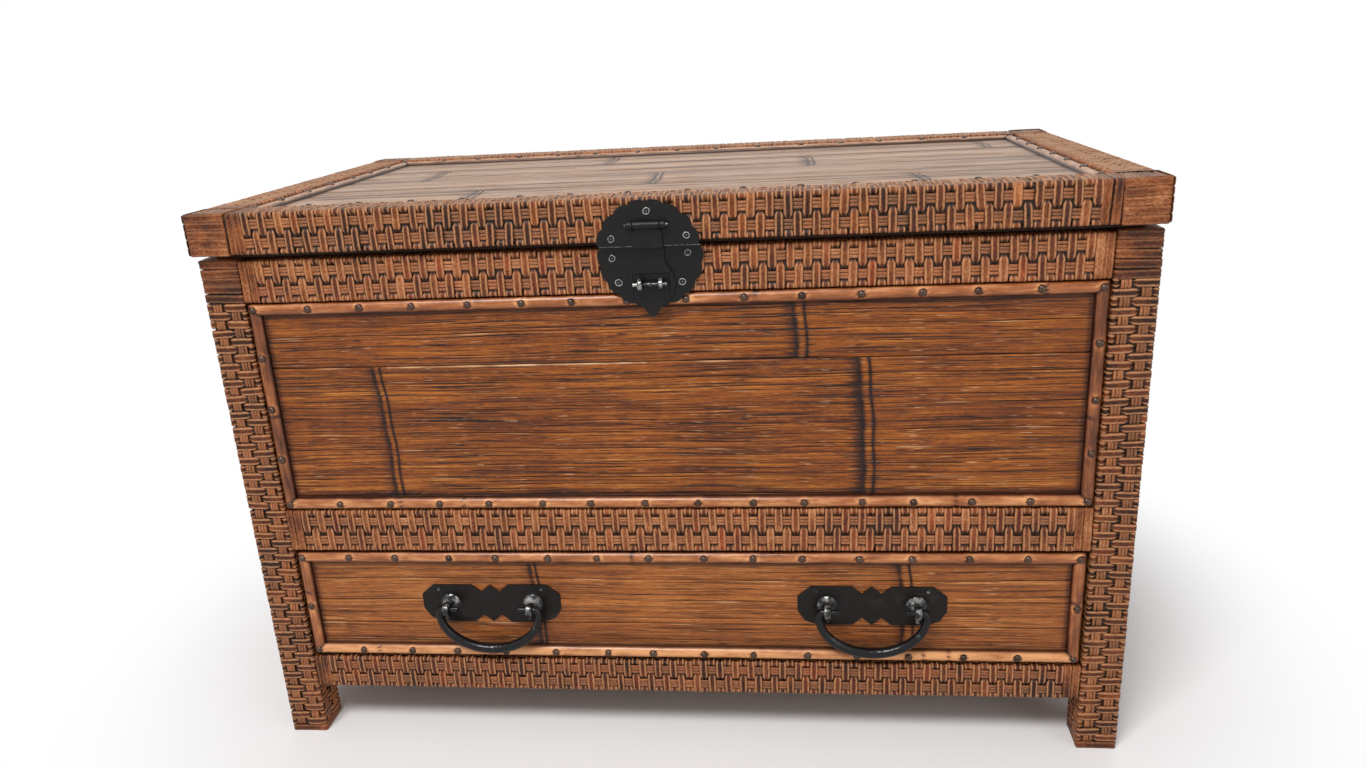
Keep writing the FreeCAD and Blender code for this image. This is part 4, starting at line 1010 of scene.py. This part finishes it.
def trimFrame(name, tones=(0.5, 0.44, 0.46, 0.44), light=0.0, height=edging["height"], material=trimCane):
    # four mitred lengths round an opening with their nails; tones: bottom, right, top, left, where lighter
    # level lengths and darker upright ones are a painted highlight and painted shade
    corner, across, up, (width, tall), outward, body, _ = openings[name]
    corner, across, up, outward = vectors(corner, across, up, outward)
    a, b = corner, corner + across * width
    c, d = b + up * tall, corner + up * tall
    bundle, nails = Bundle(), []
    sides = [(a, b, up, width), (b, c, -across, tall), (c, d, -up, width), (d, a, across, tall)]
    for index, (start, end, inward, length) in enumerate(sides):
        places = nailRow(length, edging["width"] / 2, edging["nailPitch"])
        if index % 2 == 1:
            places = places[1:-1]
        trimRun(bundle, nails, start, end, inward, outward, places, tones[index], light, height)
    bundle.piece(f"edging_{name}", body, material, (f"{name}_trims",), "cane_edging")
    nailHeads(f"nails_edging_{name}", nails, body, edging["nailRadius"], edging["nailHeight"], nailIron)


# level lengths painted lighter and upright ones darker: painted highlight and painted shade
trimFrame("front", (0.74, 0.26, 0.6, 0.32), 0.06)
for openingName in ("back", "left", "right"):
    trimFrame(openingName)
# the lid's edging painted pale all round: partly a painted sheen
trimFrame("lid", (0.8, 0.76, 0.8, 0.76), 0.0, edging["lidHeight"], lidTrimCane)
# the drawer's level lengths painted lighter than its upright ones: painted highlight and painted shade
trimFrame("drawer", (1.0, 0.46, 0.62, 0.46), 0.14)
print("edging made")


# Ironware and plain parts; their shapes come from the CAD frame

hardware = {
    "lockNailRadius": 2.9, "lockNailHeight": 1.5, "plate": 1.2,   # plate: thickness under a nail head
    "upperNails": [(-3.0, 486.3), (-31.6, 465.8), (26.7, 466.9)],
    "lowerNails": [(-33.4, 449.1), (26.2, 452.0), (-29.5, 429.7), (20.8, 429.2)],
    "handleNailRadius": 1.8, "handleNailHeight": 0.9, "handlePlace": 168.5, "handleNails": 47.5,
    "handleNailLevel": 152.5,
    "hinges": 230.0, "hingeFace": 214.95, "hingeAxis": 459.5, "screwRadius": 3.0, "screwHeight": 0.8,
    "screws": [(-21.0, 15.0), (0.0, 20.0), (21.0, 15.0)],
}


def makeHardware():
    # nail heads on the lock and the handle plates, screws on the hinges
    ahead, behind = np.array([0, -1.0, 0]), np.array([0, 1.0, 0])
    for half, face, body in (("upper", chest["lidFront"], "lid"), ("lower", chest["front"], "carcass")):
        spots = [((x, face - hardware["plate"], z), ahead) for x, z in hardware[f"{half}Nails"]]
        nailHeads(f"lock_nails_{half}", spots, body, hardware["lockNailRadius"], hardware["lockNailHeight"],
                  ringedIron, ringedHead)
    face = chest["front"] + chest["recess"] - hardware["plate"]
    for side, sign in (("left", -1), ("right", 1)):
        spots = [((sign * hardware["handlePlace"] + away, face, hardware["handleNailLevel"]), ahead)
                 for away in (-hardware["handleNails"], hardware["handleNails"])]
        nailHeads(f"handle_nails_{side}", spots, "drawer", hardware["handleNailRadius"],
                  hardware["handleNailHeight"], forgedIron, ringedHead)
    for body, way in (("carcass", -1), ("lid", 1)):
        spots = [((x + dx, hardware["hingeFace"], hardware["hingeAxis"] + way * dz), behind)
                 for x in (-hardware["hinges"], hardware["hinges"]) for dx, dz in hardware["screws"]]
        nailHeads(f"hinge_screws_{body}", spots, body, hardware["screwRadius"], hardware["screwHeight"],
                  screwSteel, screwHead)


def dress(material, names):
    for name in names:
        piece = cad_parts[name]
        piece.data.materials.clear()
        piece.data.materials.append(material)


makeHardware()
dress(coreWood, [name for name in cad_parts
                 if name.endswith("_rail") or name.startswith("post_") and name != "post_wraps"])
dress(liningWood, ["lid_lining"])
dress(woodAlongX, ["chest_floor", "floor_cleats", "drawer_back", "drawer_bottom"])
dress(woodAlongY, ["drawer_runners", "drawer_side_left", "drawer_side_right"])
dress(handlePlateIron, ["handle_plate_left", "handle_plate_right"])
dress(plateIron, ["lock_plate_lower", "lock_plate_upper"])
dress(iron, ["hasp"])
dress(forgedIron, ["lock_staples", "hasp_pin", "lock_pin", "handle_eyes_left", "handle_eyes_right"])
dress(bailIron, ["bail_left", "bail_right"])
dress(zinc, ["hinge_leaves_body", "hinge_leaves_lid", "hinge_pins", "stay_body_bracket", "stay_lid_bracket",
             "stay_arm"])
print("hardware made")


# Floor, light and camera

studio = {
    "floor": tint(252, 252, 252), "floorSides": 96, "floorRings": (0.3, 0.6, 0.9, 1.2, 1.6, 2.2, 3.0, 6.0),
    "worldLight": 0.30,
    "keyPlace": (-0.5, -1.6, 2.2), "keySize": (1.1, 0.6), "keyPower": 46.0,
    "fillPlace": (1.7, -1.6, 0.9), "fillSize": (1.2, 1.2), "fillPower": 7.0,
    "topPlace": (0.2, 0.9, 2.2), "topSize": (1.6, 1.2), "topPower": 8.0,
    "aim": (0, 0, 0.25),
    "whiteFrom": 0.40, "whiteTo": 0.68,   # the floor turns plain white between these distances
    "lens": 26.53, "sensor": 36.0, "clip": (0.01, 50), "cameraPlace": (0.11119, -0.97283, 0.59986),
    "cameraRight": (0.99307433, 0.10454257, -0.0536118), "cameraUp": (0.01773468, 0.31770259, 0.94802455),
    "cameraAhead": (-0.11614152, 0.94240963, -0.31364826),
}


def seenByEye(tree):
    # 1 for camera and mirror rays, so that the background reads as plain white
    ray = addNode(tree, "ShaderNodeLightPath")
    seen = maths(tree, "MAXIMUM", ray.outputs["Is Camera Ray"], ray.outputs["Is Glossy Ray"])
    return maths(tree, "MAXIMUM", seen, ray.outputs["Is Transmission Ray"])


def blendShaders(tree, share, first, second, target):
    blend = feed(tree, addNode(tree, "ShaderNodeMixShader"), {0: share, 1: first, 2: second})
    tree.links.new(blend.outputs[0], target.inputs[0])


def makeWorld():
    world = bpy.data.worlds.new("studioWorld")
    bpy.context.scene.world = world
    world.use_nodes = True
    tree = world.node_tree
    tree.nodes.clear()
    target = addNode(tree, "ShaderNodeOutputWorld")
    seen, light = (addNode(tree, "ShaderNodeBackground", {"Color": white, "Strength": strength}).outputs[0]
                   for strength in (1.0, studio["worldLight"]))
    blendShaders(tree, seenByEye(tree), light, seen, target)


def makeFloor():
    # a round floor that turns into the white background away from the chest
    turns, radii = studio["floorSides"], studio["floorRings"]
    angles = [2 * math.pi * k / turns for k in range(turns)]
    points = [(r * math.cos(a), r * math.sin(a), 0) for r in radii for a in angles]
    faces = [tuple(range(turns))]
    for ring in range(len(radii) - 1):
        for k in range(turns):
            a, b = ring * turns + k, ring * turns + (k + 1) % turns
            faces.append((a, a + turns, b + turns, b))
    mesh = bpy.data.meshes.new("floor")
    mesh.from_pydata(points, [], faces)
    floor = bpy.data.objects.new("floor", mesh)
    bpy.context.scene.collection.objects.link(floor)
    material, tree, surface = startMaterial("paleFloor", **{"Base Color": studio["floor"], "Roughness": 0.9,
                                                            "Specular IOR Level": 0.1})
    reach = addNode(tree, "ShaderNodeVectorMath", operation="LENGTH")
    tree.links.new(objectPlace(tree), reach.inputs[0])
    limits = {"From Min": studio["whiteFrom"], "From Max": studio["whiteTo"]}
    far = addNode(tree, "ShaderNodeMapRange", limits, interpolation_type="SMOOTHSTEP")
    tree.links.new(reach.outputs["Value"], far.inputs["Value"])
    plainWhite = addNode(tree, "ShaderNodeEmission", {"Color": white, "Strength": 1.0})
    share = times(tree, far.outputs[0], seenByEye(tree))
    blendShaders(tree, share, surface.outputs[0], plainWhite.outputs[0], tree.nodes["Material Output"])
    mesh.materials.append(material)


def softLight(name):
    data = bpy.data.lights.new(f"{name}Light", "AREA")
    data.shape = "RECTANGLE"
    data.size, data.size_y = studio[f"{name}Size"]
    data.energy = studio[f"{name}Power"]
    lamp = bpy.data.objects.new(f"{name}Light", data)
    lamp.location = studio[f"{name}Place"]
    lamp.rotation_euler = (Vector(studio["aim"]) - lamp.location).to_track_quat("-Z", "Y").to_euler()
    bpy.context.scene.collection.objects.link(lamp)


def makeCamera():
    # the photograph's view, solved from the chest's long edges
    view = bpy.data.cameras.new("photoCamera")
    view.lens = studio["lens"]
    view.sensor_width = studio["sensor"]
    view.clip_start, view.clip_end = studio["clip"]
    camera = bpy.data.objects.new("photoCamera", view)
    right, up, ahead = (Vector(studio[f"camera{way}"]) for way in ("Right", "Up", "Ahead"))
    turn = Matrix((right, up, -ahead)).transposed().to_4x4()
    camera.matrix_world = Matrix.Translation(Vector(studio["cameraPlace"])) @ turn
    bpy.context.scene.collection.objects.link(camera)
    bpy.context.scene.camera = camera
    bpy.context.scene.view_settings.view_transform = "Standard"


makeWorld()
makeFloor()
for lightName in ("key", "fill", "top"):
    softLight(lightName)
makeCamera()
print("scene ready")
